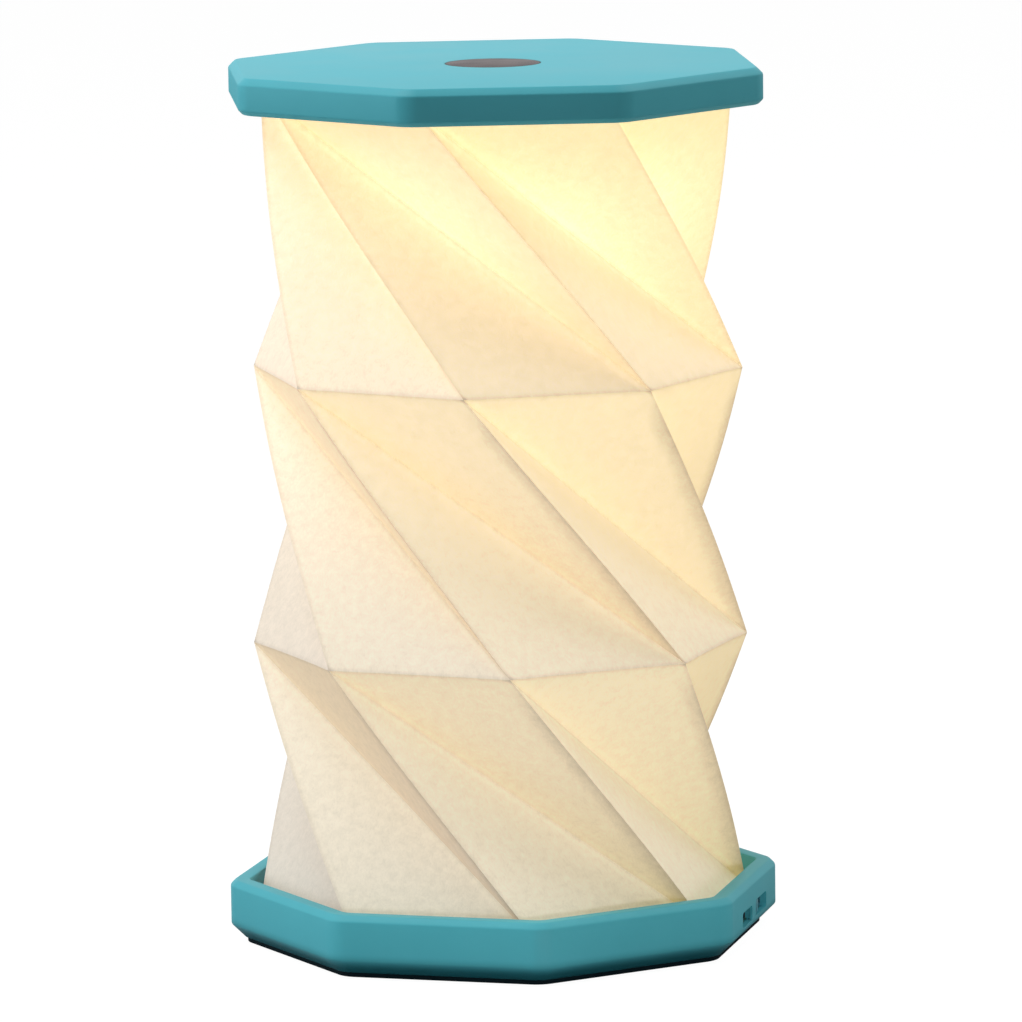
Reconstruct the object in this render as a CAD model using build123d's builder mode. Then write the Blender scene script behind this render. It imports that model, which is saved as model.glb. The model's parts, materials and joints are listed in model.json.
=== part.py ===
"""Pleated paper table lamp: an eight-sided twist-fold paper shade between a tray base and a lid.

Millimetres, +Z up. The origin is on the surface that the lamp stands on, at the middle of its base.
The side of the base with the charging port and the switch faces +X.
The shade is drawn pulled out. Pressing the lid down turns it clockwise, seen from above, until the
folded shade lies in the base and the lid sits on the base's rim.
"""

from build123d import *
from math import asin, cos, degrees, radians, sin
import os

os.makedirs("parts", exist_ok=True)

# ---------------------------------------------------------------- driving dimensions
SIDES = 8
SIDE_ANGLE = 360 / SIDES

# Outline that the base and the lid share
across_flats = 131.0
corner_radius = 8.0

# Base, from the table up
foot_height = 1.2
foot_inset = 0.4
foot_band = 8.0
cover_thickness = 1.8
cover_fit = 0.15
pad_thickness = 0.3
cell_length = 50.0
cell_width = 34.0
cell_thickness = 2.9
cell_headroom = 0.1
cell_corner = 1.5
cell_edge_radius = 0.8
pad_inset = 2.0
cell_end_gap = 1.0
floor_thickness = 1.7
rim_depth = 8.2
rim_width = 5.0
rim_chamfer = 1.4
heel_chamfer = 3.6
heel_ledge = 2.4
inner_corner_radius = 3.0
cell_rib_thickness = 1.0
cell_rib_depth = 2.6
cell_rib_gap = 0.3
cell_rib_stop = 3.0

# Screws that hold the covers, the same size in the base and the lid
screw_radius = 1.0
screw_head_radius = 2.1
screw_head_height = 1.0
screw_bite = 1.0
thread_gap = 0.03
head_gap = 0.2
boss_radius = 3.0
boss_wall_gap = 10.5
screw_frame_gap = 2.0
screw_count = 4

# Charging port and switch, in the side of the base that faces +X
outer_skin = 1.6
port_centre_y = -7.65
port_width = 10.8
port_height = 3.8
socket_width = 7.6
socket_height = 2.9
socket_depth = 5.2
socket_shell = 0.3
socket_corner = 1.2
tongue_width = 4.0
tongue_thickness = 0.7
tongue_setback = 0.6
shroud_wall = 0.8
part_gap = 0.15
slot_centre_y = 7.65
slot_width = 12.3
slot_height = 4.1
switch_width = 13.0
switch_height = 3.6
switch_depth = 3.0
switch_back_wall = 0.6
knob_width = 3.6
knob_height = 3.3
knob_below_face = 0.3
slider_foot_width = 4.2
slider_foot_height = 2.6
slider_foot_depth = 1.6
slider_neck_width = 2.4
slider_neck_height = 1.6
slider_gap = 0.1
groove_width = 0.4
groove_depth = 0.3
groove_pitch = 0.9
groove_count = 3
switch_travel = 8.0

# Main board, hung under the tray floor
board_thickness = 1.0
board_start_x = 22.0
board_width = 38.0
board_edge_gap = 0.3
board_screw_x = 28.0
board_screw_y = 15.0
header_length = 6.0
header_width = 4.0
header_height = 2.0
header_wall = 0.4
header_socket_depth = 2.5
header_start_x = 23.0
battery_header_y = -6.0
lamp_header_y = 6.0
lead_radius = 0.45
lead_pitch = 1.3
charger_chip_side = 4.0
charger_chip_height = 0.9
coil_side = 4.5
coil_height = 1.8
driver_chip_side = 3.0
driver_chip_height = 1.0
chip_row_x = 42.0
chip_pitch = 9.0

# Grommet for the lead that goes up to the lid
grommet_x = 16.0
grommet_hole_radius = 2.5
grommet_flange_radius = 4.0
grommet_flange = 0.7
grommet_bore_radius = 1.2

# Paper shade: three twist-fold tiers, each turned back from the one below when pulled out
shade_clearance = 3.0
paper_wall = 0.6
paper_gap = 0.3
lower_tier_height = 66.8
middle_tier_height = 69.6
upper_tier_height = 70.9
lower_tier_angle = 50.8
middle_tier_angle = 54.6
upper_tier_angle = 55.16
folded_angle = 90.0
frame_thickness = 1.0
frame_band = 9.0
frame_inset = 0.4

# Lid, from its lower edge up
lid_lip = 4.6
lid_wall = 3.5
plate_thickness = 1.0
plate_fit = 0.2
lid_space = 1.9
lid_skin = 1.8
lid_bevel = 1.7
lid_lower_chamfer = 1.2
disc_radius = 12.15
disc_thickness = 0.8
disc_fit = 0.05
disc_edge = 0.2
tape_thickness = 0.2
tape_inset = 1.2
disc_pad_radius = 15.0
disc_pad_depth = 0.7
lid_rib_thickness = 1.0
lid_rib_depth = 0.9
lid_rib_clearance = 1.0
led_board_radius = 24.0
led_board_thickness = 0.8
window_radius = 19.0
diffuser_fit = 0.1
diffuser_wall = 1.2
diffuser_flange = 2.0
diffuser_flange_thickness = 0.8
dome_depth = 3.0
led_length = 3.5
led_width = 2.8
led_height = 0.8
led_count = 10
led_ring_radius = 12.5
led_header_distance = 20.0
led_header_depth = 3.0
led_header_width = 5.0
led_header_height = 0.9
lead_hole_radius = 1.5
lead_hole_distance = 30.0
close_gap = 0.2

# ---------------------------------------------------------------- levels and radii worked out from them
apothem = across_flats / 2
cover_top = foot_height + cover_thickness
floor_under = cover_top + pad_thickness + cell_thickness + cell_headroom
floor_top = floor_under + floor_thickness
base_top = floor_top + rim_depth
heel_apothem = apothem - heel_chamfer
cavity_apothem = heel_apothem - heel_ledge
tray_apothem = apothem - rim_width
board_under = floor_under - board_thickness
skin_inside = apothem - outer_skin
base_screw_distance = cavity_apothem - boss_radius - boss_wall_gap

# fold rings of the shade, from the base up: level, and turn about the lamp's axis
tiers = (
    (lower_tier_height, lower_tier_angle),
    (middle_tier_height, middle_tier_angle),
    (upper_tier_height, upper_tier_angle),
)
ring_levels = [floor_top + frame_thickness + paper_gap]
ring_turns = [0.0]
for tier_height, tier_angle in tiers:
    ring_levels.append(ring_levels[-1] + tier_height)
    ring_turns.append(ring_turns[-1] - tier_angle)
lid_turn = ring_turns[-1]
corner_cosine = cos(radians(SIDE_ANGLE / 2))
ring_radius = (tray_apothem - shade_clearance) / corner_cosine
frame_apothem = ring_radius * corner_cosine - frame_inset
frame_inner_apothem = frame_apothem - frame_band

plate_under = ring_levels[-1] + paper_gap + frame_thickness
lid_bottom = plate_under - lid_lip
plate_top = plate_under + plate_thickness
lid_ceiling = plate_top + lid_space
lid_top = lid_ceiling + lid_skin
lid_inner_apothem = apothem - lid_wall
lid_screw_distance = frame_inner_apothem - screw_frame_gap - screw_head_radius
lid_travel = lid_bottom - base_top - close_gap
lid_fold_turn = len(tiers) * folded_angle + lid_turn


def octagon(flat_radius, rounding=0.0, turn=0.0, mode=Mode.ADD):
    """Draws an octagon with a flat side facing +X, then turned, with rounded corners if asked."""
    with BuildSketch(mode=Mode.PRIVATE) as outline:
        RegularPolygon(flat_radius, SIDES, major_radius=False, rotation=turn + SIDE_ANGLE / 2)
        if rounding:
            fillet(outline.vertices(), rounding)
    add(outline.sketch, mode=mode)


def save(part, name):
    """Labels a finished piece and writes it to its own file."""
    part.label = name
    export_step(part, f"parts/{name}.step")


def on_circle(radius, turn=0.0):
    """Gives the places of the screws on a circle, for a piece that is turned by turn."""
    return PolarLocations(radius, screw_count, start_angle=SIDE_ANGLE + turn)


def rounds(level, radius, places, height, mode=Mode.ADD):
    """Adds or cuts an upright cylinder at each of the places, from level upwards."""
    with BuildSketch(Plane.XY.offset(level)) as circles:
        with places:
            Circle(radius)
    extrude(circles.sketch, amount=height, mode=mode)


def screws(seat, reach, places):
    """Adds pan-head screws at the places, with heads below seat and shanks going up by reach."""
    rounds(seat - screw_head_height, screw_head_radius, places, screw_head_height)
    rounds(seat, screw_radius, places, reach)


# ---------------------------------------------------------------- base: shells
socket_pocket_width = socket_width + 2 * part_gap
socket_pocket_top = floor_under + socket_height + part_gap
socket_back = skin_inside - socket_depth
switch_pocket_width = switch_width + 2 * part_gap
switch_pocket_top = floor_under + switch_height + part_gap
switch_back = skin_inside - switch_depth
tongue_low_y = port_centre_y - socket_pocket_width / 2
tongue_high_y = slot_centre_y + switch_pocket_width / 2
tongue_middle_y = (tongue_low_y + tongue_high_y) / 2
tongue_span = tongue_high_y - tongue_low_y
board_end_x = cavity_apothem - board_edge_gap
tongue_end_x = skin_inside - board_edge_gap
cell_end_x = grommet_x - grommet_flange_radius - cell_end_gap
cell_centre_x = cell_end_x - cell_length / 2

with BuildPart() as base_tray:
    with BuildSketch(Plane.XY.offset(foot_height)):
        octagon(apothem, corner_radius)
    extrude(amount=base_top - foot_height)
    chamfer(base_tray.faces().sort_by(Axis.Z)[-1].edges(), rim_chamfer)
    chamfer(base_tray.faces().sort_by(Axis.Z)[0].edges(), heel_chamfer)
    # the tray that the folded shade lies in
    with BuildSketch(Plane.XY.offset(floor_top)):
        octagon(tray_apothem, inner_corner_radius)
    extrude(amount=rim_depth, mode=Mode.SUBTRACT)
    # the space under the floor
    with BuildSketch(Plane.XY.offset(foot_height)):
        octagon(cavity_apothem, inner_corner_radius)
    extrude(amount=floor_under - foot_height, mode=Mode.SUBTRACT)
    # shroud over the back of the charging socket
    shroud_back = socket_back - part_gap - shroud_wall
    with BuildSketch(Plane.XY.offset(floor_top)):
        with Locations(((shroud_back + tray_apothem) / 2, port_centre_y)):
            Rectangle(tray_apothem - shroud_back, socket_pocket_width + 2 * shroud_wall)
    extrude(amount=socket_pocket_top + shroud_wall - floor_top)
    # slot in the wall for the board's front edge, then the pockets above it
    with BuildSketch(Plane.XY.offset(board_under - part_gap)):
        with Locations(((board_end_x + skin_inside) / 2, tongue_middle_y)):
            Rectangle(skin_inside - board_end_x, tongue_span)
    extrude(amount=board_thickness + part_gap, mode=Mode.SUBTRACT)
    for back, middle_y, width, top in (
        (socket_back, port_centre_y, socket_pocket_width, socket_pocket_top),
        (switch_back, slot_centre_y, switch_pocket_width, switch_pocket_top),
    ):
        pocket_back = back - part_gap
        with BuildSketch(Plane.XY.offset(floor_under)):
            with Locations(((pocket_back + skin_inside) / 2, middle_y)):
                Rectangle(skin_inside - pocket_back, width)
        extrude(amount=top - floor_under, mode=Mode.SUBTRACT)
    # port and switch slot through the outer skin
    for middle_y, width, height, middle_z in (
        (port_centre_y, port_width, port_height, floor_under + socket_height / 2),
        (slot_centre_y, slot_width, slot_height, floor_under + switch_height / 2),
    ):
        with BuildSketch(Plane.YZ.offset(skin_inside)):
            with Locations((middle_y, middle_z)):
                RectangleRounded(width, height, height / 4)
        extrude(amount=outer_skin, mode=Mode.SUBTRACT)
    # screw bosses, grommet hole and the board's screw holes
    base_places = on_circle(base_screw_distance)
    board_places = Locations((board_screw_x, board_screw_y), (board_screw_x, -board_screw_y))
    pilot_radius = screw_radius + thread_gap
    rounds(cover_top, boss_radius, base_places, floor_under - cover_top)
    rounds(cover_top, pilot_radius, base_places, floor_under + screw_bite - cover_top, Mode.SUBTRACT)
    rounds(floor_under, pilot_radius, board_places, screw_bite, Mode.SUBTRACT)
    rounds(floor_under, grommet_hole_radius, Locations((grommet_x, 0)), floor_thickness, Mode.SUBTRACT)
    # ribs that keep the cell in its place, open towards the board
    rib_inner_length, rib_inner_width = cell_length + 2 * cell_rib_gap, cell_width + 2 * cell_rib_gap
    with BuildSketch(Plane.XY.offset(floor_under - cell_rib_depth)):
        with Locations((cell_centre_x, 0)):
            Rectangle(rib_inner_length + 2 * cell_rib_thickness, rib_inner_width + 2 * cell_rib_thickness)
            Rectangle(rib_inner_length, rib_inner_width, mode=Mode.SUBTRACT)
        with Locations((cell_end_x - cell_rib_stop, 0)):
            Rectangle(
                cell_length, rib_inner_width + 4 * cell_rib_thickness,
                align=(Align.MIN, Align.CENTER), mode=Mode.SUBTRACT,
            )
    extrude(amount=cell_rib_depth)
save(base_tray.part, "base_tray")

screw_seat = foot_height + screw_head_height
with BuildPart() as bottom_cover:
    with BuildSketch(Plane.XY.offset(foot_height)):
        octagon(cavity_apothem - cover_fit, inner_corner_radius - cover_fit)
    extrude(amount=cover_thickness)
    rounds(foot_height, screw_head_radius + head_gap, base_places, screw_head_height, Mode.SUBTRACT)
    rounds(foot_height, screw_radius + head_gap, base_places, cover_thickness, Mode.SUBTRACT)
save(bottom_cover.part, "bottom_cover")

with BuildPart() as base_screws:
    screws(screw_seat, floor_under + screw_bite - screw_seat, base_places)
save(base_screws.part, "base_screws")

with BuildPart() as rubber_foot_ring:
    with BuildSketch():
        octagon(heel_apothem - foot_inset, inner_corner_radius)
        octagon(heel_apothem - foot_inset - foot_band, inner_corner_radius, mode=Mode.SUBTRACT)
    extrude(amount=foot_height)
save(rubber_foot_ring.part, "rubber_foot_ring")

# ---------------------------------------------------------------- base: what it holds
with BuildPart() as battery_pad:
    with BuildSketch(Plane.XY.offset(cover_top)):
        with Locations((cell_centre_x, 0)):
            RectangleRounded(cell_length - 2 * pad_inset, cell_width - 2 * pad_inset, cell_corner)
    extrude(amount=pad_thickness)
save(battery_pad.part, "battery_pad")

cell_bottom = cover_top + pad_thickness
with BuildPart() as battery_cell:
    with BuildSketch(Plane.XY.offset(cell_bottom)):
        with Locations((cell_centre_x, 0)):
            RectangleRounded(cell_length, cell_width, cell_corner)
    extrude(amount=cell_thickness)
    fillet(battery_cell.faces().sort_by(Axis.Z)[-1].edges(), cell_edge_radius)
save(battery_cell.part, "battery_cell")

with BuildPart() as main_board:
    with BuildSketch(Plane.XY.offset(board_under)):
        with Locations(((board_start_x + board_end_x) / 2, 0)):
            Rectangle(board_end_x - board_start_x, board_width)
        with Locations(((board_end_x + tongue_end_x) / 2, tongue_middle_y)):
            Rectangle(tongue_end_x - board_end_x, tongue_span - 2 * board_edge_gap)
    extrude(amount=board_thickness)
    rounds(board_under, pilot_radius, board_places, board_thickness, Mode.SUBTRACT)
save(main_board.part, "main_board")

with BuildPart() as board_screws:
    screws(board_under, board_thickness + screw_bite, board_places)
save(board_screws.part, "board_screws")

with BuildPart() as board_chips:
    for middle_y, side, height in (
        (-chip_pitch, charger_chip_side, charger_chip_height),
        (0.0, coil_side, coil_height),
        (chip_pitch, driver_chip_side, driver_chip_height),
    ):
        with BuildSketch(Plane.XY.offset(board_under - height)):
            with Locations((chip_row_x, middle_y)):
                Rectangle(side, side)
        extrude(amount=height)
save(board_chips.part, "board_chips")

lead_level = board_under - header_height / 2
for name, middle_y in (("battery_header", battery_header_y), ("lamp_header", lamp_header_y)):
    with BuildPart() as header:
        with BuildSketch(Plane.XY.offset(board_under - header_height)):
            with Locations((header_start_x + header_width / 2, middle_y)):
                Rectangle(header_width, header_length)
        extrude(amount=header_height)
        with BuildSketch(Plane.YZ.offset(header_start_x)):
            with Locations((middle_y, lead_level)):
                Rectangle(header_length - 2 * header_wall, header_height - 2 * header_wall)
        extrude(amount=header_socket_depth, mode=Mode.SUBTRACT)
    save(header.part, name)

with BuildPart() as battery_lead:
    with BuildSketch(Plane.YZ.offset(cell_end_x)):
        with Locations((battery_header_y, lead_level)):
            with GridLocations(lead_pitch, 0, 2, 1):
                Circle(lead_radius)
    extrude(amount=header_start_x + header_socket_depth - cell_end_x)
save(battery_lead.part, "battery_lead")

with BuildPart() as usb_socket:
    with BuildSketch(Plane.YZ.offset(socket_back)):
        with Locations((port_centre_y, floor_under + socket_height / 2)):
            RectangleRounded(socket_width, socket_height, socket_corner)
    extrude(amount=socket_depth)
    with BuildSketch(Plane.YZ.offset(socket_back + 2 * socket_shell)):
        with Locations((port_centre_y, floor_under + socket_height / 2)):
            RectangleRounded(
                socket_width - 2 * socket_shell, socket_height - 2 * socket_shell,
                socket_corner - socket_shell,
            )
    extrude(amount=socket_depth, mode=Mode.SUBTRACT)
    with BuildSketch(Plane.YZ.offset(socket_back)):
        with Locations((port_centre_y, floor_under + socket_height / 2)):
            Rectangle(tongue_width, tongue_thickness)
    extrude(amount=socket_depth - tongue_setback)
save(usb_socket.part, "usb_socket")

switch_middle_z = floor_under + switch_height / 2
foot_back = switch_back + switch_back_wall + slider_gap
foot_front = foot_back + slider_foot_depth
with BuildPart() as switch_body:
    with BuildSketch(Plane.YZ.offset(switch_back)):
        with Locations((slot_centre_y, switch_middle_z)):
            Rectangle(switch_width, switch_height)
    extrude(amount=switch_depth)
    # the room that the slider's foot travels in, and the narrower slot that its neck travels in
    foot_space = slider_foot_width + switch_travel + 2 * slider_gap
    with BuildSketch(Plane.YZ.offset(foot_back - slider_gap)):
        with Locations((slot_centre_y, switch_middle_z)):
            Rectangle(foot_space, slider_foot_height + 2 * slider_gap)
    extrude(amount=slider_foot_depth + 2 * slider_gap, mode=Mode.SUBTRACT)
    neck_space = slider_neck_width + switch_travel + 2 * slider_gap
    with BuildSketch(Plane.YZ.offset(foot_front)):
        with Locations((slot_centre_y, switch_middle_z)):
            Rectangle(neck_space, slider_neck_height + 2 * slider_gap)
    extrude(amount=skin_inside - foot_front, mode=Mode.SUBTRACT)
save(switch_body.part, "switch_body")

slider_y = slot_centre_y - switch_travel / 2
knob_back = skin_inside + slider_gap
knob_face = apothem - knob_below_face
with BuildPart() as switch_slider:
    for back, front, width, height in (
        (foot_back, foot_front, slider_foot_width, slider_foot_height),
        (foot_front, knob_back, slider_neck_width, slider_neck_height),
        (knob_back, knob_face, knob_width, knob_height),
    ):
        with BuildSketch(Plane.YZ.offset(back)):
            with Locations((slider_y, switch_middle_z)):
                Rectangle(width, height)
        extrude(amount=front - back)
    with BuildSketch(Plane.YZ.offset(knob_face)):
        with Locations((slider_y, switch_middle_z)):
            with GridLocations(groove_pitch, 0, groove_count, 1):
                Rectangle(groove_width, knob_height)
    extrude(amount=-groove_depth, mode=Mode.SUBTRACT)
save(switch_slider.part, "switch_slider")

with BuildPart() as lead_grommet:
    with BuildSketch(Plane.XZ):
        with BuildLine():
            Polyline(
                (grommet_x + grommet_bore_radius, floor_under - grommet_flange),
                (grommet_x + grommet_flange_radius, floor_under - grommet_flange),
                (grommet_x + grommet_flange_radius, floor_under),
                (grommet_x + grommet_hole_radius, floor_under),
                (grommet_x + grommet_hole_radius, floor_top),
                (grommet_x + grommet_flange_radius, floor_top),
                (grommet_x + grommet_flange_radius, floor_top + grommet_flange),
                (grommet_x + grommet_bore_radius, floor_top + grommet_flange),
                close=True,
            )
        make_face()
    revolve(axis=Axis((grommet_x, 0, 0), (0, 0, 1)))
save(lead_grommet.part, "lead_grommet")

# ---------------------------------------------------------------- paper shade and its two end frames
for name, level, turn in (
    ("shade_bottom_frame", floor_top, 0.0),
    ("shade_top_frame", plate_under - frame_thickness, lid_turn),
):
    with BuildPart() as frame:
        with BuildSketch(Plane.XY.offset(level)):
            octagon(frame_apothem, turn=turn)
            octagon(frame_inner_apothem, turn=turn, mode=Mode.SUBTRACT)
        extrude(amount=frame_thickness)
    save(frame.part, name)


def fold_ring(tier_ring, radius, level):
    """Gives the corners of one fold ring, from the corner that the base's first corner numbers."""
    first = SIDE_ANGLE / 2 + ring_turns[tier_ring]
    angles = [radians(first + SIDE_ANGLE * corner) for corner in range(SIDES)]
    return [(radius * cos(angle), radius * sin(angle), level) for angle in angles]


def twist_fold(radius, levels):
    """Makes the closed solid inside the folded paper: two flat triangles for each side and tier."""
    rings = [fold_ring(number, radius, level) for number, level in enumerate(levels)]
    panels = [Face(Wire.make_polygon(rings[0])), Face(Wire.make_polygon(rings[-1]))]
    for lower, upper in zip(rings, rings[1:]):
        for side in range(SIDES):
            after = (side + 1) % SIDES
            # lower corner n folds out to upper corner n, and in to upper corner n - 1
            panels.append(Face(Wire.make_polygon((lower[side], upper[side], upper[side - 1]))))
            panels.append(Face(Wire.make_polygon((lower[side], lower[after], upper[side]))))
    return Solid(Shell(panels))


with BuildPart() as paper_shade:
    add(twist_fold(ring_radius, ring_levels))
    add(twist_fold(ring_radius - paper_wall, ring_levels), mode=Mode.SUBTRACT)
save(paper_shade.part, "paper_shade")

# ---------------------------------------------------------------- lid
lid_places = on_circle(lid_screw_distance, lid_turn)
disc_seat = lid_top - disc_thickness - tape_thickness
centre = Locations((0, 0))
with BuildPart() as lid_cover:
    with BuildSketch(Plane.XY.offset(lid_bottom)):
        octagon(apothem, corner_radius, lid_turn)
    extrude(amount=lid_top - lid_bottom)
    chamfer(lid_cover.faces().sort_by(Axis.Z)[-1].edges(), lid_bevel)
    chamfer(lid_cover.faces().sort_by(Axis.Z)[0].edges(), lid_lower_chamfer)
    with BuildSketch(Plane.XY.offset(lid_bottom)):
        octagon(lid_inner_apothem, corner_radius - lid_wall, lid_turn)
    extrude(amount=lid_ceiling - lid_bottom, mode=Mode.SUBTRACT)
    rounds(lid_ceiling - disc_pad_depth, disc_pad_radius, centre, disc_pad_depth)
    rounds(disc_seat, disc_radius + disc_fit, centre, lid_top - disc_seat, Mode.SUBTRACT)
    # ribs under the ceiling, from outside the light's board to the middle of each side
    rib_start = led_board_radius + lid_rib_clearance
    rib_length = lid_inner_apothem - rib_start
    with BuildSketch(Plane.XY.offset(lid_ceiling - lid_rib_depth)):
        with PolarLocations(rib_start + rib_length / 2, SIDES, start_angle=lid_turn):
            Rectangle(rib_length, lid_rib_thickness)
    extrude(amount=lid_rib_depth)
    rounds(plate_top, boss_radius, lid_places, lid_space)
    rounds(plate_top, pilot_radius, lid_places, lid_space + screw_bite, Mode.SUBTRACT)
save(lid_cover.part, "lid_cover")

with BuildPart() as disc_tape:
    rounds(disc_seat, disc_radius - tape_inset, centre, tape_thickness)
save(disc_tape.part, "disc_tape")

with BuildPart() as lid_disc:
    rounds(disc_seat + tape_thickness, disc_radius, centre, disc_thickness)
    chamfer(lid_disc.faces().sort_by(Axis.Z)[-1].edges(), disc_edge)
save(lid_disc.part, "lid_disc")

with BuildPart() as lid_plate:
    with BuildSketch(Plane.XY.offset(plate_under)):
        octagon(lid_inner_apothem - plate_fit, corner_radius - lid_wall - plate_fit, lid_turn)
    extrude(amount=plate_thickness)
    rounds(plate_under, window_radius, centre, plate_thickness, Mode.SUBTRACT)
    rounds(plate_under, screw_radius + head_gap, lid_places, plate_thickness, Mode.SUBTRACT)
    lead_place = PolarLocations(lead_hole_distance, 1, start_angle=lid_turn)
    rounds(plate_under, lead_hole_radius, lead_place, plate_thickness, Mode.SUBTRACT)
save(lid_plate.part, "lid_plate")

with BuildPart() as lid_screws:
    screws(plate_under, plate_thickness + lid_space + screw_bite, lid_places)
save(lid_screws.part, "lid_screws")

with BuildPart() as led_board:
    rounds(plate_top, led_board_radius, centre, led_board_thickness)
save(led_board.part, "led_board")

with BuildPart() as led_chips:
    with BuildSketch(Plane.XY.offset(plate_top - led_height)):
        Rectangle(led_length, led_width)
        with PolarLocations(led_ring_radius, led_count, start_angle=lid_turn):
            Rectangle(led_length, led_width)
    extrude(amount=led_height)
save(led_chips.part, "led_chips")

with BuildPart() as led_header:
    with BuildSketch(Plane.XY.offset(plate_top + led_board_thickness)):
        with PolarLocations(led_header_distance, 1, start_angle=lid_turn):
            Rectangle(led_header_depth, led_header_width)
    extrude(amount=led_header_height)
save(led_header.part, "led_header")

collar_radius = window_radius - diffuser_fit
collar_inner = collar_radius - diffuser_wall
flange_under = plate_under - diffuser_flange_thickness
dome_radius = (collar_radius**2 + dome_depth**2) / (2 * dome_depth)
dome_centre = flange_under - dome_depth + dome_radius
inner_dome_radius = dome_radius - diffuser_wall
inner_spring = dome_centre - (inner_dome_radius**2 - collar_inner**2) ** 0.5
with BuildPart() as led_diffuser:
    with BuildSketch(Plane.XZ):
        with BuildLine():
            outer_sweep = degrees(asin(collar_radius / dome_radius))
            inner_sweep = degrees(asin(collar_inner / inner_dome_radius))
            dome = CenterArc((0, dome_centre), dome_radius, -90, outer_sweep)
            rim = Polyline(
                dome @ 1,
                (collar_radius + diffuser_flange, flange_under),
                (collar_radius + diffuser_flange, plate_under),
                (collar_radius, plate_under),
                (collar_radius, plate_top),
                (collar_inner, plate_top),
                (collar_inner, inner_spring),
            )
            hollow = CenterArc((0, dome_centre), inner_dome_radius, -90, inner_sweep)
            Line(hollow @ 0, dome @ 0)
        make_face()
    revolve(axis=Axis.Z)
save(led_diffuser.part, "led_diffuser")

print("lid travel", round(lid_travel, 3), "mm, fold turn", round(lid_fold_turn, 3), "degrees")
print("height", round(lid_top, 3), "lid turned", round(lid_turn, 3), "paper ends", ring_levels)
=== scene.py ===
"""Dresses the pleated paper table lamp: two moulded shells, the twist-folded paper shade and what they hold.

Metres, +Z up, in the frame's own place: the lamp stands on the XY plane with its middle at the origin,
and the side of the base with the charging port and the switch faces +X.
"""

import json
import logging
import math
from contextlib import contextmanager
from dataclasses import dataclass
from enum import Enum
from typing import Callable, Iterable, Iterator, Mapping

import bpy
from mathutils import Matrix, Vector
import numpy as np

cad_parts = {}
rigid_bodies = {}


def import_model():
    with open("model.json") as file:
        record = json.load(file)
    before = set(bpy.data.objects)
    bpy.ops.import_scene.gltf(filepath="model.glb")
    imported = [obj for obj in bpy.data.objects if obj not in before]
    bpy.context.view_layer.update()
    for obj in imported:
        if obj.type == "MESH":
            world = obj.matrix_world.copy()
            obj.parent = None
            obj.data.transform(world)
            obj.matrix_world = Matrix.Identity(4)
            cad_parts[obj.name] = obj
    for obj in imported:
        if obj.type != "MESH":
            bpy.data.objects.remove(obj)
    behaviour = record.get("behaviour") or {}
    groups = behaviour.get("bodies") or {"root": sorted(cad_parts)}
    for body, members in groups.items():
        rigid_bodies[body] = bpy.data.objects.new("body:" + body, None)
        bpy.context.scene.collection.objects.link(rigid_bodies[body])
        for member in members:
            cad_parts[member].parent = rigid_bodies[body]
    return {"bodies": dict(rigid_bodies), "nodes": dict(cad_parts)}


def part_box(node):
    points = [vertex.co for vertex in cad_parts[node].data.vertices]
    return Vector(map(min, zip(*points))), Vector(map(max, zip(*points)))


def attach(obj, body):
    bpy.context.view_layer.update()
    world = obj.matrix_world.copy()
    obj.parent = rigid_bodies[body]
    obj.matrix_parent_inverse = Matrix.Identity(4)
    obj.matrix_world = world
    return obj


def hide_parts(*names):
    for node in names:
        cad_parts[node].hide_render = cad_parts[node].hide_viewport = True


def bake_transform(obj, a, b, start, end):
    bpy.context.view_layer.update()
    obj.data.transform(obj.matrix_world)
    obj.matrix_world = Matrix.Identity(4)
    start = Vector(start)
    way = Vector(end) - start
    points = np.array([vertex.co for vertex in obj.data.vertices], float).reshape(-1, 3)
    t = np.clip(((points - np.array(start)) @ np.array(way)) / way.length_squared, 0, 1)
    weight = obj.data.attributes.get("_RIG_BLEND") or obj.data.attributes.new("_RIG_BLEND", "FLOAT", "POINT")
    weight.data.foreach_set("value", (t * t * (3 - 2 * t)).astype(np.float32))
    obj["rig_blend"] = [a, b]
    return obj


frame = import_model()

LOG = logging.getLogger("paper_lamp")
MM = 0.001

SIDES = 8
SIDE_ANGLE = math.tau / SIDES
FIRST_CORNER = SIDE_ANGLE / 2
CORNER_COSINE = math.cos(SIDE_ANGLE / 2)
CORNER_TANGENT = math.tan(SIDE_ANGLE / 2)
MIDDLE = (0.0, 0.0, 110.0 * MM)

LEVEL_TOLERANCE = 0.01 * MM
LEVEL_NORMAL = 0.9
SHARP_ANGLE = math.radians(30)
SMOOTH_ANGLE = math.radians(35)
CUT_MARGIN = 1.0 * MM
JOIN_OVERLAP = 0.5 * MM
SLIGHT_OVERLAP = 0.1 * MM

Place = tuple[float, float]
Triple = tuple[float, float, float]
Colour = tuple[float, float, float, float]
WHITE: Colour = (1.0, 1.0, 1.0, 1.0)


def srgb(red: int, green: int, blue: int) -> Colour:
    """Gives the shader's linear colour for a colour written in 0 to 255 steps.

    Args:
        red: The red step.
        green: The green step.
        blue: The blue step.

    Returns:
        Red, green, blue and a full alpha, as the shader sockets take them.
    """
    shares = (step / 255 for step in (red, green, blue))
    linear = (s / 12.92 if s <= 0.04045 else ((s + 0.055) / 1.055) ** 2.4 for s in shares)
    return (*linear, 1.0)


# ---------------------------------------------------------------- modelling by hand
class Pick(Enum):
    """What an edit-mode step selects."""

    EDGES = (False, True, False)
    FACES = (False, False, True)


def deselect_all() -> None:
    """Leaves edit mode and clears the selection."""
    if bpy.context.object and bpy.context.object.mode != "OBJECT":
        bpy.ops.object.mode_set(mode="OBJECT")
    for chosen in bpy.context.selected_objects:
        chosen.select_set(False)


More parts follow.
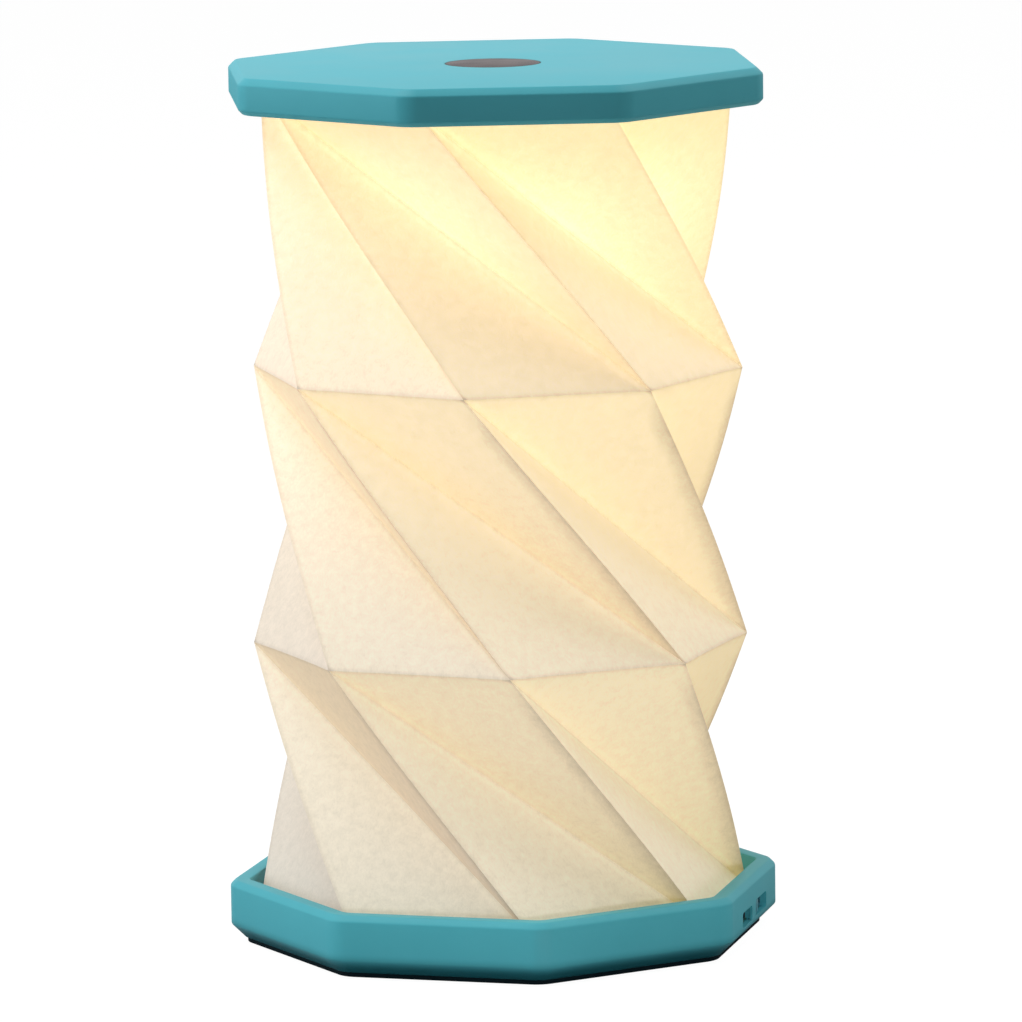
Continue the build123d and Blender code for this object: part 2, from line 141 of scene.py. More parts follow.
class Workpiece:
    """One mesh on the bench: each step selects a part of it and works on that part alone."""

    def __init__(self, piece: bpy.types.Object) -> None:
        """Takes a primitive that was just added, and moves its place into its mesh."""
        self.piece = piece
        bpy.ops.object.transform_apply(location=True, rotation=True, scale=True)

    @classmethod
    def prism(
        cls, name: str, sides: int, radius: float, low: float, high: float,
        centre: Place = (0.0, 0.0), turn: float = 0.0,
    ) -> "Workpiece":
        """Starts from an upright prism or cylinder.

        Args:
            name: The piece's name.
            sides: How many sides it has.
            radius: From its axis to a corner.
            low: The level of its lower face.
            high: The level of its upper face.
            centre: Where its axis stands.
            turn: Its turn about its axis, in radians.

        Returns:
            The new workpiece.
        """
        deselect_all()
        bpy.ops.mesh.primitive_cylinder_add(
            vertices=sides, radius=radius, depth=high - low,
            location=(*centre, (low + high) / 2), rotation=(0, 0, turn),
        )
        bpy.context.object.name = name
        return cls(bpy.context.object)

    @classmethod
    def block(cls, name: str, low: Iterable[float], high: Iterable[float]) -> "Workpiece":
        """Starts from a block between its lowest and its highest corner."""
        deselect_all()
        low, high = Vector(low), Vector(high)
        bpy.ops.mesh.primitive_cube_add(size=1, location=(low + high) / 2, scale=high - low)
        bpy.context.object.name = name
        return cls(bpy.context.object)

    def take_up(self) -> None:
        """Makes the piece the only selected one, for the operator that follows."""
        deselect_all()
        self.piece.select_set(True)
        bpy.context.view_layer.objects.active = self.piece

    @contextmanager
    def editing(self, pick: Pick, chosen: Callable[[object], bool]) -> Iterator[None]:
        """Opens edit mode with only the chosen edges or faces selected, and closes it afterwards.

        Args:
            pick: Whether edges or faces are selected.
            chosen: Says of an edge or a face whether it is selected.

        Yields:
            Nothing: the operators inside act on the selection.
        """
        self.take_up()
        mesh = self.piece.data
        bpy.context.tool_settings.mesh_select_mode = pick.value
        for elements in (mesh.vertices, mesh.edges, mesh.polygons):
            elements.foreach_set("select", [False] * len(elements))
        for element in mesh.edges if pick is Pick.EDGES else mesh.polygons:
            element.select = chosen(element)
        bpy.ops.object.mode_set(mode="EDIT")
        yield
        bpy.ops.object.mode_set(mode="OBJECT")

    def ends(self, edge: bpy.types.MeshEdge) -> tuple[Vector, Vector]:
        """Gives an edge's two end points."""
        first, last = edge.vertices
        return self.piece.data.vertices[first].co, self.piece.data.vertices[last].co

    def is_upright(self, edge: bpy.types.MeshEdge) -> bool:
        """Says whether an edge runs straight up."""
        first, last = self.ends(edge)
        return (first.xy - last.xy).length < LEVEL_TOLERANCE

    def is_level(self, edge: bpy.types.MeshEdge, level: float) -> bool:
        """Says whether an edge lies at a level."""
        return all(abs(end.z - level) < LEVEL_TOLERANCE for end in self.ends(edge))

    def faces_at(self, level: float, upwards: bool) -> Callable[[bpy.types.MeshPolygon], bool]:
        """Gives a test for the faces that lie at a level and look up, or down."""
        way = 1 if upwards else -1

        def lies_there(face: bpy.types.MeshPolygon) -> bool:
            """Says whether a face is at the level and looks that way."""
            return abs(face.center.z - level) < LEVEL_TOLERANCE and face.normal.z * way > LEVEL_NORMAL

        return lies_there

    def bevel_edges(
        self, chosen: Callable[[bpy.types.MeshEdge], bool], offset: float, segments: int = 1
    ) -> "Workpiece":
        """Chamfers the chosen edges, or rounds them if it is given more segments."""
        with self.editing(Pick.EDGES, chosen):
            bpy.ops.mesh.bevel(offset=offset, segments=segments, profile=0.5, affect="EDGES")
        return self

    def bevel_level(self, level: float, offset: float, segments: int = 1) -> "Workpiece":
        """Chamfers or rounds the edges that lie at a level."""
        return self.bevel_edges(lambda edge: self.is_level(edge, level), offset, segments)

    def round_corners(self, radius: float, segments: int) -> "Workpiece":
        """Rounds the upright corners of an eight-sided piece."""
        return self.bevel_edges(self.is_upright, radius * CORNER_TANGENT, segments)

    def sink(self, level: float, upwards: bool, inset: float, depth: float) -> "Workpiece":
        """Insets the faces at a level, and pushes what is inside them into the piece.

        Args:
            level: The level of the faces.
            upwards: Whether they look up.
            inset: How far the pocket's wall stands inside the edge.
            depth: How deep the pocket is.

        Returns:
            The workpiece.
        """
        with self.editing(Pick.FACES, self.faces_at(level, upwards)):
            bpy.ops.mesh.inset(thickness=inset)
            bpy.ops.mesh.extrude_region_move(
                TRANSFORM_OT_translate={"value": (0, 0, -depth if upwards else depth)}
            )
        return self

    def soften(self, width: float, segments: int = 2) -> "Workpiece":
        """Rounds every sharp edge."""
        with self.editing(Pick.EDGES, lambda edge: False):
            bpy.ops.mesh.edges_select_sharp(sharpness=SHARP_ANGLE)
            bpy.ops.mesh.bevel(offset=width, segments=segments, profile=0.5, affect="EDGES")
        return self

    def cut(self, *tools: "Workpiece") -> "Workpiece":
        """Cuts other workpieces out of this one, and uses them up."""
        return self.combine("DIFFERENCE", tools)

    def join(self, *tools: "Workpiece") -> "Workpiece":
        """Joins other workpieces to this one, and uses them up."""
        return self.combine("UNION", tools)

    def combine(self, operation: str, tools: Iterable["Workpiece"]) -> "Workpiece":
        """Applies one of the Boolean modifier's operations with each tool in turn."""
        for tool in tools:
            self.take_up()
            modifier = self.piece.modifiers.new("combine", "BOOLEAN")
            modifier.operation = operation
            modifier.solver = "EXACT"
            modifier.object = tool.piece
            bpy.ops.object.modifier_apply(modifier=modifier.name)
            bpy.data.objects.remove(tool.piece)
        return self

    def smooth(self) -> "Workpiece":
        """Shades the piece smooth, except over its sharp edges."""
        self.take_up()
        bpy.ops.object.shade_smooth_by_angle(angle=SMOOTH_ANGLE)
        return self

    def copy_to(self, name: str, place: Matrix) -> bpy.types.Object:
        """Gives a copy with its own mesh, moved in the mesh and not by the object."""
        copied = self.piece.copy()
        copied.data = self.piece.data.copy()
        copied.name = name
        copied.data.transform(place)
        bpy.context.scene.collection.objects.link(copied)
        return copied


def octagon_block(
    name: str, flat_radius: float, low: float, high: float, rounding: float, turn: float = 0.0
) -> Workpiece:
    """Starts an eight-sided block whose flat sides stand at a radius, with rounded upright corners."""
    block = Workpiece.prism(
        name, SIDES, flat_radius / CORNER_COSINE, low, high, turn=FIRST_CORNER + turn
    )
    return block.round_corners(rounding, segments=8)


def paint(piece: bpy.types.Object, material: bpy.types.Material) -> None:
    """Gives a piece one material all over."""
    piece.data.materials.clear()
    piece.data.materials.append(material)


def settle(
    piece: bpy.types.Object, body: str, slot: str, material: bpy.types.Material, *nodes: str
) -> bpy.types.Object:
    """Gives a finished piece its material and its body, and hides the nodes that it stands for.

    Args:
        piece: The finished piece.
        body: The body that it moves with.
        slot: Not used.
        material: The finish.
        nodes: The frame's nodes that it replaces.

    Returns:
        The piece.
    """
    paint(piece, material)
    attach(piece, body)
    if nodes:
        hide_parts(*nodes)
    LOG.info("%s: %d faces, on %s", piece.name, len(piece.data.polygons), body)
    return piece


# ---------------------------------------------------------------- shader graph
class Flow:
    """A value or a colour on its way through a material: arithmetic on it adds Math nodes."""

    def __init__(self, graph: "Graph", socket: bpy.types.NodeSocket) -> None:
        """Wraps an output socket of the graph."""
        self.graph = graph
        self.socket = socket

    def __add__(self, other: "Flow | float") -> "Flow":
        """Adds."""
        return self.graph.math("ADD", self, other)

    __radd__ = __add__

    def __sub__(self, other: "Flow | float") -> "Flow":
        """Subtracts."""
        return self.graph.math("SUBTRACT", self, other)

    def __rsub__(self, other: "Flow | float") -> "Flow":
        """Subtracts this from a number."""
        return self.graph.math("SUBTRACT", other, self)

    def __mul__(self, other: "Flow | float") -> "Flow":
        """Multiplies."""
        return self.graph.math("MULTIPLY", self, other)

    __rmul__ = __mul__

    def __truediv__(self, other: "Flow | float") -> "Flow":
        """Divides."""
        return self.graph.math("DIVIDE", self, other)

    def __rtruediv__(self, other: "Flow | float") -> "Flow":
        """Divides a number by this."""
        return self.graph.math("DIVIDE", other, self)

    def __pow__(self, power: "Flow | float") -> "Flow":
        """Raises to a power."""
        return self.graph.math("POWER", self, power)

    def __abs__(self) -> "Flow":
        """Gives the size without its sign."""
        return self.graph.math("ABSOLUTE", self)

    def ramp(self, low: float, high: float) -> "Flow":
        """Rises smoothly from 0 at low to 1 at high."""
        node = self.graph.node(
            "ShaderNodeMapRange", {"interpolation_type": "SMOOTHSTEP"},
            {"Value": self, "From Min": low, "From Max": high},
        )
        return Flow(self.graph, node.outputs["Result"])


class Graph:
    """The nodes of one material, or of the world."""

    def __init__(self, owner: bpy.types.Material | bpy.types.World) -> None:
        """Starts with an empty node tree."""
        self.owner = owner
        owner.use_nodes = True
        self.tree = owner.node_tree
        self.tree.nodes.clear()

    def node(
        self, kind: str, settings: Mapping[str, object] = {}, inputs: Mapping[str, object] = {}
    ) -> bpy.types.Node:
        """Adds a node of any kind.

        Args:
            kind: The node's type.
            settings: Its settings, which are set first.
            inputs: A value, or a Flow to link, for each input socket's identifier.

        Returns:
            The node.
        """
        made = self.tree.nodes.new(kind)
        for name, value in settings.items():
            setattr(made, name, value)
        sockets = {socket.identifier: socket for socket in made.inputs}
        for name, value in inputs.items():
            if isinstance(value, Flow):
                self.tree.links.new(value.socket, sockets[name])
            else:
                sockets[name].default_value = value
        return made

    def math(self, operation: str, *values: "Flow | float") -> Flow:
        """Adds a Math node on one to three values."""
        inputs = dict(zip(("Value", "Value_001", "Value_002"), values))
        made = self.node("ShaderNodeMath", {"operation": operation}, inputs)
        return Flow(self, made.outputs["Value"])

    def vector_math(self, operation: str, *values: object, output: str = "Vector") -> Flow:
        """Adds a Vector Math node, and gives its vector or its single value."""
        inputs = dict(zip(("Vector", "Vector_001", "Vector_002"), values))
        made = self.node("ShaderNodeVectorMath", {"operation": operation}, inputs)
        return Flow(self, made.outputs[output])

    def mix(self, share: Flow, first: Flow | Colour, second: Flow | Colour) -> Flow:
        """Blends two colours: the share is how much of the second there is."""
        made = self.node(
            "ShaderNodeMix", {"data_type": "RGBA"},
            {"Factor_Float": share, "A_Color": first, "B_Color": second},
        )
        return Flow(self, made.outputs[2])

    def place(self) -> Flow:
        """Gives the point on the piece, in the lamp's own coordinates."""
        return Flow(self, self.node("ShaderNodeTexCoord").outputs["Object"])

    def attribute(self, name: str, output: str = "Vector") -> Flow:
        """Reads an attribute that the piece's mesh holds."""
        return Flow(self, self.node("ShaderNodeAttribute", {"attribute_name": name}).outputs[output])

    def axes(self, vector: Flow) -> tuple[Flow, Flow, Flow]:
        """Splits a vector into its three values."""
        made = self.node("ShaderNodeSeparateXYZ", inputs={"Vector": vector})
        return tuple(Flow(self, made.outputs[axis]) for axis in "XYZ")

    def radius(self, vector: Flow) -> Flow:
        """Gives how far a place is from the lamp's upright axis."""
        x, y, _ = self.axes(vector)
        return self.math("SQRT", x * x + y * y)

    def noise(
        self, vector: Flow, pitch: float, stretch: Triple = (1, 1, 1),
        detail: float = 3.0, roughness: float = 0.5,
    ) -> Flow:
        """Gives soft noise between 0 and 1.

        Args:
            vector: Where it is read.
            pitch: How large its features are, in metres.
            stretch: How many times longer they are along each axis.
            detail: How many finer layers it has.
            roughness: How strong the finer layers are.

        Returns:
            The noise.
        """
        scaled = self.vector_math("MULTIPLY", vector, tuple(1 / (pitch * times) for times in stretch))
        made = self.node(
            "ShaderNodeTexNoise",
            inputs={"Vector": scaled, "Scale": 1.0, "Detail": detail, "Roughness": roughness},
        )
        return Flow(self, made.outputs["Fac"])

    def cells(self, vector: Flow, pitch: float, feature: str = "F1") -> Flow:
        """Gives the distance inside cells of a pitch, or to their borders."""
        scaled = self.vector_math("MULTIPLY", vector, (1 / pitch,) * 3)
        made = self.node("ShaderNodeTexVoronoi", {"feature": feature}, {"Vector": scaled, "Scale": 1.0})
        return Flow(self, made.outputs["Distance"])

    def relief(self, height: Flow, depth: float) -> Flow:
        """Turns a height between 0 and 1 into a bump of a depth in metres."""
        made = self.node("ShaderNodeBump", inputs={"Height": height, "Distance": depth, "Strength": 1.0})
        return Flow(self, made.outputs["Normal"])

    def surface(self, inputs: Mapping[str, object]) -> bpy.types.Material:
        """Ends the graph in a surface shader with these inputs, and gives the material."""
        shader = self.node("ShaderNodeBsdfPrincipled", inputs=inputs)
        self.node("ShaderNodeOutputMaterial", inputs={"Surface": Flow(self, shader.outputs[0])})
        return self.owner


# ---------------------------------------------------------------- finishes
class Pattern(Enum):
    """What a finish shows close up."""

    SPARK_GRAIN = "fine grain of a spark-eroded mould"
    BRUSHED = "straight brushed lines"
    TURNED = "lines round the middle, from turning"
    FIBRES = "short fibres pressed flat"
    CELLS = "open foam cells"
    CRINKLES = "crinkled foil"
    TRACES = "copper tracks under lacquer"
    SPECKLES = "phosphor grains in silicone"


@dataclass(frozen=True)
class PaintedShade:
    """Painted shade: where a surface is painted darker, as shade falls near the floor or in a narrow gap,
    along a height or a radius, from unshaded to dark.
    """

    tone: Colour
    unshaded: float
    dark: float
    by_radius: bool = False

    def share(self, graph: Graph, place: Flow) -> Flow:
        """Gives how much painted shade there is at a place, from 0 to 1."""
        measure = graph.radius(place) if self.by_radius else graph.axes(place)[2]
        if self.unshaded < self.dark:
            return measure.ramp(self.unshaded, self.dark)
        return 1 - measure.ramp(self.dark, self.unshaded)


@dataclass(frozen=True)
class Finish:
    """A surface: its two tones, the pattern that mixes them, any painted shade, its relief and how it shines.
    """

    name: str
    colour: Colour
    second: Colour
    pattern: Pattern
    pitch: float
    relief: float
    roughness: float
    roughness_spread: float = 0.1
    metallic: float = 0.0
    specular: float = 0.5
    glow: float = 0.0
    painted_shade: PaintedShade | None = None

    def make(self) -> bpy.types.Material:
        """Builds the material."""
        graph = Graph(bpy.data.materials.new(self.name))
        place = graph.place()
        tone, height = self.drawn(graph, place)
        colour = graph.mix(tone, self.colour, self.second)
        # painted shade: the colour is mixed towards the shade's tone, where the finish has one
        if self.painted_shade:
            colour = graph.mix(self.painted_shade.share(graph, place), colour, self.painted_shade.tone)
        inputs = {
            "Base Color": colour,
            "Roughness": self.roughness + (tone - 0.5) * self.roughness_spread,
            "Metallic": self.metallic,
            "Specular IOR Level": self.specular,
            "Normal": graph.relief(height, self.relief),
        }
        if self.glow:
            inputs |= {"Emission Color": colour, "Emission Strength": self.glow}
        return graph.surface(inputs)

    def drawn(self, graph: Graph, place: Flow) -> tuple[Flow, Flow]:
        """Draws the pattern.

        Args:
            graph: The material's graph.
            place: The point on the piece.

        Returns:
            The tone that mixes the two colours, and the height, both from 0 to 1.
        """
        pitch = self.pitch
        if self.pattern is Pattern.SPARK_GRAIN:
            clouds = graph.noise(place, 60 * pitch, detail=4).ramp(0.3, 0.7)
            grain = graph.noise(place, pitch, detail=2)
            return clouds * 0.7 + grain * 0.3, grain
        if self.pattern is Pattern.BRUSHED:
            lines = graph.noise(place, pitch, stretch=(40, 1, 40), detail=3, roughness=0.7)
            return lines.ramp(0.3, 0.7), lines
        if self.pattern is Pattern.TURNED:
            rings = graph.math("SINE", graph.radius(place) * (math.tau / pitch)) * 0.5 + 0.5
            blotches = graph.noise(place, 12 * pitch, detail=4).ramp(0.25, 0.75)
            return blotches * 0.7 + rings * 0.3, rings * 0.6 + graph.noise(place, pitch / 2) * 0.4
        if self.pattern is Pattern.FIBRES:
            along = graph.noise(place, pitch, stretch=(6, 1, 1), detail=4, roughness=0.65)
            across = graph.noise(place, pitch, stretch=(1, 6, 6), detail=4, roughness=0.65)
            fibres = graph.math("MAXIMUM", along, across)
            return fibres.ramp(0.4, 0.8), fibres
        if self.pattern is Pattern.CELLS:
            cells = graph.cells(place, pitch)
            return cells.ramp(0.2, 0.8), cells
        if self.pattern is Pattern.CRINKLES:
            folds = graph.cells(place, pitch, "DISTANCE_TO_EDGE")
            broad = graph.noise(place, 4 * pitch, detail=3)
            return broad.ramp(0.35, 0.65), folds.ramp(0.0, 0.25) * 0.7 + broad * 0.3
        if self.pattern is Pattern.TRACES:
            bends = graph.noise(place, 8 * pitch, detail=0) * 3
            across = graph.axes(place)[1] / pitch
            tracks = graph.math("PINGPONG", across + bends, 0.5).ramp(0.28, 0.32)
            zones = graph.noise(place, 14 * pitch, detail=0).ramp(0.5, 0.53)
            return tracks * zones, tracks * zones
        grains = graph.cells(place, pitch).ramp(0.1, 0.6)
        return grains, grains


@dataclass(frozen=True)
class FoldMark:
    """A painted mark along a fold: painted shade, or a painted highlight, in the light through the sheet.

    It has its full share of the light up to one distance from the fold, or from its own middle beside the
    fold, and has faded out at its reach.
    """

    share: float
    reach: float
    full_to: float = 0.0
    middle: float = 0.0

    def at(self, distance: Flow) -> Flow:
        """Gives the mark's share of the light at a distance from the fold."""
        if self.middle:
            distance = abs(distance - self.middle)
        return (1 - distance.ramp(self.full_to, self.reach)) * self.share


@dataclass(frozen=True)
class GlowingPaper:
    """Folded translucent paper with a light at the top inside it.

    Each of the glow's shares is how much red, green and blue light one cause sends out of the sheet.
    """

    name: str
    sheet: Colour = srgb(217, 214, 210)
    # the colour of the painted shade at the folds and of the sheet's darker fibres
    shadow: Colour = srgb(144, 134, 118)
    roughness: float = 0.62
    roughness_spread: float = 0.1
    specular: float = 0.25
    relief: float = 0.35 * MM

    light_level: float = 214.5 * MM
    thrown_fade: float = 170.0 * MM
    direct_reach: float = 60.0 * MM
    # painted room light: the side painted brighter, and the least share of the painted front light
    painted_light_side: Triple = (0.967, 0.255, 0.0)
    least_painted_front_light: float = 0.2
    direct_share: Triple = (0.25, 0.294, 0.218)
    thrown_share: Triple = (0.745, 0.495, 0.235)
    even_share: Triple = (-0.028, -0.06, -0.08)
    # shares of painted room light, facing up, facing right and facing the front
    painted_top_light_share: Triple = (-0.053, -0.015, 0.04)
    painted_side_light_share: Triple = (0.137, 0.15, 0.09)
    painted_front_light_share: Triple = (0.125, 0.15, 0.108)
    darkest: Triple = (0.0, 0.0, 0.0)
    brightest: Triple = (0.8, 0.85, 0.8)

    fibre: float = 0.45 * MM
    fibre_stretch: float = 7.0
    mottle: float = 2.25 * MM
    mottle_share: float = 0.6
    ripple: float = 14.0 * MM
    ripple_share: float = 0.65
    fibre_contrast: float = 0.7
    clean_fibre: float = 0.62
    fibre_dirt: float = 0.6

    painted_crease_shade: float = 0.7
    painted_crease_warmth: Triple = (0.08, 0.02, 0.0)
    ring_line: FoldMark = FoldMark(0.2, 1.1 * MM)
    ring_shade: FoldMark = FoldMark(0.04, 4.0 * MM)
    mountain_line: FoldMark = FoldMark(0.17, 1.2 * MM)
    lee: FoldMark = FoldMark(0.3, 5.0 * MM, full_to=0.2 * MM)
    lee_rise: float = 14.0 * MM
    valley_line: FoldMark = FoldMark(0.07, 0.4 * MM, middle=0.25 * MM)
    valley_gleam: FoldMark = FoldMark(0.06, 0.9 * MM, middle=1.2 * MM)
    knot: FoldMark = FoldMark(0.24, 2.6 * MM, full_to=0.5 * MM)
    upper_ring: float = 145.7 * MM
    upper_ring_blend: float = 1.0 * MM

    def make(self) -> bpy.types.Material:
        """Builds the material."""
        graph = Graph(bpy.data.materials.new(self.name))
        place = graph.attribute("flat_place")
        fibres = self.fibres(graph, place)
        creases = self.creases(graph, place)
        tone = (fibres - 0.5) * self.fibre_contrast + 1.0
        ripples = graph.noise(place, self.ripple, detail=3)
        height = fibres * (1 - self.ripple_share) + ripples * self.ripple_share
        # painted shade at the folds, with the fibres' own tone, darkens the sheet's colour
        crease_shade_and_fibre_tone = (1 - creases) * self.painted_crease_shade + (self.clean_fibre - fibres) * self.fibre_dirt
        return graph.surface({
            "Base Color": graph.mix(crease_shade_and_fibre_tone, self.sheet, self.shadow),
            "Roughness": self.roughness + (fibres - 0.5) * self.roughness_spread,
            "Specular IOR Level": self.specular,
            # the light through the sheet, with painted shade and painted highlights at its folds, painted
            # warmer at the creases
            "Emission Color": graph.vector_math(
                "MULTIPLY_ADD", self.glow(graph, place), tone * creases,
                graph.vector_math("MULTIPLY", self.painted_crease_warmth, 1 - creases),
            ),
            "Emission Strength": 1.0,
            "Normal": graph.relief(height, self.relief),
        })

    def fibres(self, graph: Graph, place: Flow) -> Flow:
        """Gives the sheet's fibres: long ones up the sheet over fine mottle."""
        stretch = (1, 1, self.fibre_stretch)
        long_ones = graph.noise(place, self.fibre, stretch=stretch, detail=3, roughness=0.6)
        mottle = graph.noise(place, self.mottle, detail=5, roughness=0.7)
        return long_ones * (1 - self.mottle_share) + mottle * self.mottle_share

    def creases(self, graph: Graph, place: Flow) -> Flow:
        """Gives how much light passes beside the folds: 1 on the open sheet, less at a crease.

        Painted shade lies beside the outward folds, on the facets that fall left, below the upper ring.

        Args:
            graph: The material's graph.
            place: The point on the sheet, before its facets were bowed.

        Returns:
            The share of light.
        """
        ring, mountain, valley = graph.axes(graph.attribute("crease_distance"))
        falls_left = 1 - graph.attribute("falls_right", "Fac")
        upper_tier = graph.axes(place)[2].ramp(self.upper_ring - self.upper_ring_blend, self.upper_ring)
        # painted shade beside each outward fold
        lee = self.lee.at(mountain) * falls_left * (1 - upper_tier) * ring.ramp(0.0, self.lee_rise)
        at_ring = self.ring_line.at(ring) + self.ring_shade.at(ring)
        at_mountain = self.mountain_line.at(mountain) + lee
        at_valley = self.valley_line.at(valley) - self.valley_gleam.at(valley)
        return 1 - at_ring - at_mountain - at_valley - self.knot.at(ring + mountain)

    def glow(self, graph: Graph, place: Flow) -> Flow:
        """Gives the colour of the light through the sheet: direct, thrown about inside and even, with painted
        room light facing up, facing right and facing the front.
        """
        ray = graph.vector_math("SUBTRACT", place, (0.0, 0.0, self.light_level))
        length = graph.vector_math("LENGTH", ray, output="Value")
        normal = Flow(graph, graph.node("ShaderNodeNewGeometry").outputs["Normal"])
        facing = abs(graph.vector_math("DOT_PRODUCT", ray, normal, output="Value"))
        depth = self.light_level - graph.axes(place)[2]
        causes = (
            (depth * facing * self.direct_reach ** 2 / length ** 4, self.direct_share),
            (graph.math("EXPONENT", depth * (-1 / self.thrown_fade)), self.thrown_share),
            # painted room light facing up, facing right and facing the front
            (graph.axes(normal)[2], self.painted_top_light_share),
            (graph.vector_math("DOT_PRODUCT", normal, self.painted_light_side, output="Value"),
             self.painted_side_light_share),
            (graph.math("MAXIMUM", graph.axes(normal)[1] * -1, self.least_painted_front_light),
             self.painted_front_light_share),
        )
        total = self.even_share
        for cause, share in causes:
            total = graph.vector_math("MULTIPLY_ADD", cause, share, total)
        total = graph.vector_math("MINIMUM", total, self.brightest)
        return graph.vector_math("MAXIMUM", total, self.darkest)


class FinishShelf:
    """Every finish on the lamp, made once and handed out by its name."""

    ALL = (
        # painted shade: the shell is painted darker below 7 mm, where shade falls under the base's heel
        Finish("moulded_teal", srgb(76, 172, 186), srgb(82, 178, 192), Pattern.SPARK_GRAIN,
               0.4 * MM, 0.012 * MM, 0.5, roughness_spread=0.08, specular=0.22,
               painted_shade=PaintedShade(srgb(24, 92, 102), unshaded=7.0 * MM, dark=2.5 * MM)),
        Finish("moulded_teal_cover", srgb(70, 160, 174), srgb(76, 166, 180), Pattern.SPARK_GRAIN,
               0.6 * MM, 0.03 * MM, 0.6, specular=0.22),
        Finish("foot_rubber", srgb(6, 22, 28), srgb(12, 30, 36), Pattern.SPARK_GRAIN,
               0.5 * MM, 0.04 * MM, 0.85, specular=0.1),
        Finish("zinc_screw", srgb(176, 178, 182), srgb(150, 152, 158), Pattern.TURNED,
               0.25 * MM, 0.01 * MM, 0.35, metallic=1.0),
        Finish("foam_pad", srgb(58, 58, 60), srgb(30, 30, 32), Pattern.CELLS, 0.6 * MM, 0.15 * MM, 0.9),
        Finish("cell_foil", srgb(186, 188, 192), srgb(164, 166, 172), Pattern.CRINKLES,
               2.2 * MM, 0.05 * MM, 0.32, metallic=0.9),
        Finish("lead_insulation", srgb(170, 34, 30), srgb(150, 26, 24), Pattern.SPARK_GRAIN,
               0.3 * MM, 0.01 * MM, 0.45),
        Finish("header_nylon", srgb(232, 228, 214), srgb(220, 214, 198), Pattern.SPARK_GRAIN,
               0.3 * MM, 0.01 * MM, 0.5),
        Finish("green_board", srgb(22, 84, 52), srgb(48, 122, 78), Pattern.TRACES,
               1.3 * MM, 0.03 * MM, 0.35),
        Finish("chip_black", srgb(32, 32, 34), srgb(42, 42, 44), Pattern.SPARK_GRAIN,
               0.2 * MM, 0.01 * MM, 0.6),
        Finish("grommet_rubber", srgb(36, 38, 40), srgb(26, 28, 30), Pattern.SPARK_GRAIN,
               0.4 * MM, 0.03 * MM, 0.7),
        Finish("socket_steel", srgb(58, 62, 64), srgb(44, 48, 50), Pattern.BRUSHED,
               0.12 * MM, 0.01 * MM, 0.5, metallic=1.0),
        Finish("switch_case", srgb(44, 112, 128), srgb(38, 102, 118), Pattern.SPARK_GRAIN,
               0.3 * MM, 0.01 * MM, 0.5),
        Finish("slider_plastic", srgb(66, 148, 166), srgb(74, 156, 172), Pattern.SPARK_GRAIN,
               0.2 * MM, 0.01 * MM, 0.4),
        Finish("frame_card", srgb(214, 202, 180), srgb(190, 176, 152), Pattern.FIBRES,
               0.5 * MM, 0.05 * MM, 0.85),
        # painted shade: the inlay's outer edge is painted dark, as shade in the gap round it
        Finish("disc_metal", srgb(98, 86, 86), srgb(74, 68, 70), Pattern.TURNED,
               0.8 * MM, 0.006 * MM, 0.55, specular=0.2,
               painted_shade=PaintedShade(srgb(6, 20, 22), unshaded=11.65 * MM, dark=11.9 * MM, by_radius=True)),
        Finish("tape", srgb(228, 222, 204), srgb(214, 206, 186), Pattern.FIBRES, 0.4 * MM, 0.02 * MM, 0.6),
        Finish("white_plate", srgb(232, 232, 228), srgb(224, 224, 220), Pattern.SPARK_GRAIN,
               0.4 * MM, 0.02 * MM, 0.5),
        Finish("led_board_white", srgb(236, 236, 232), srgb(206, 204, 196), Pattern.TRACES,
               2.4 * MM, 0.02 * MM, 0.35),
        Finish("led_phosphor", srgb(250, 214, 96), srgb(244, 190, 60), Pattern.SPECKLES,
               0.25 * MM, 0.01 * MM, 0.4, glow=0.6),
        Finish("milky_plastic", srgb(250, 242, 224), srgb(244, 234, 212), Pattern.SPARK_GRAIN,
               0.4 * MM, 0.01 * MM, 0.35, glow=0.5),
    )

    def __init__(self) -> None:
        """Makes every finish."""
        self.made = {finish.name: finish.make() for finish in self.ALL}
        self.made["glowing_paper"] = GlowingPaper("glowing_paper").make()

    def __getitem__(self, name: str) -> bpy.types.Material:
        """Hands out a finish."""
        return self.made[name]


# ---------------------------------------------------------------- fasteners
@dataclass(frozen=True)
class PanScrew:
    """A small pan-head screw with a cross recess, drawn head down at the origin."""

    head_radius: float = 2.1 * MM
    head_height: float = 1.0 * MM
    head_rounding: float = 0.6 * MM
    shank_radius: float = 1.0 * MM
    tip_chamfer: float = 0.3 * MM
    cross_length: float = 2.5 * MM
    cross_width: float = 0.5 * MM
    cross_depth: float = 0.6 * MM
    facets: int = 32

    def model(self, reach: float) -> Workpiece:
        """Builds one screw whose shank reaches up from the seat at level 0."""
        screw = Workpiece.prism("screw", self.facets, self.head_radius, -self.head_height, 0.0)
        screw.bevel_level(-self.head_height, self.head_rounding, segments=4)
        screw.sink(0.0, True, self.head_radius - self.shank_radius, -reach)
        screw.bevel_level(reach, self.tip_chamfer)
        for length, width in ((self.cross_length, self.cross_width), (self.cross_width, self.cross_length)):
            low = (-length / 2, -width / 2, -self.head_height - CUT_MARGIN)
            high = (length / 2, width / 2, -self.head_height + self.cross_depth)
            screw.cut(Workpiece.block("cross_cut", low, high))
        return screw.smooth()


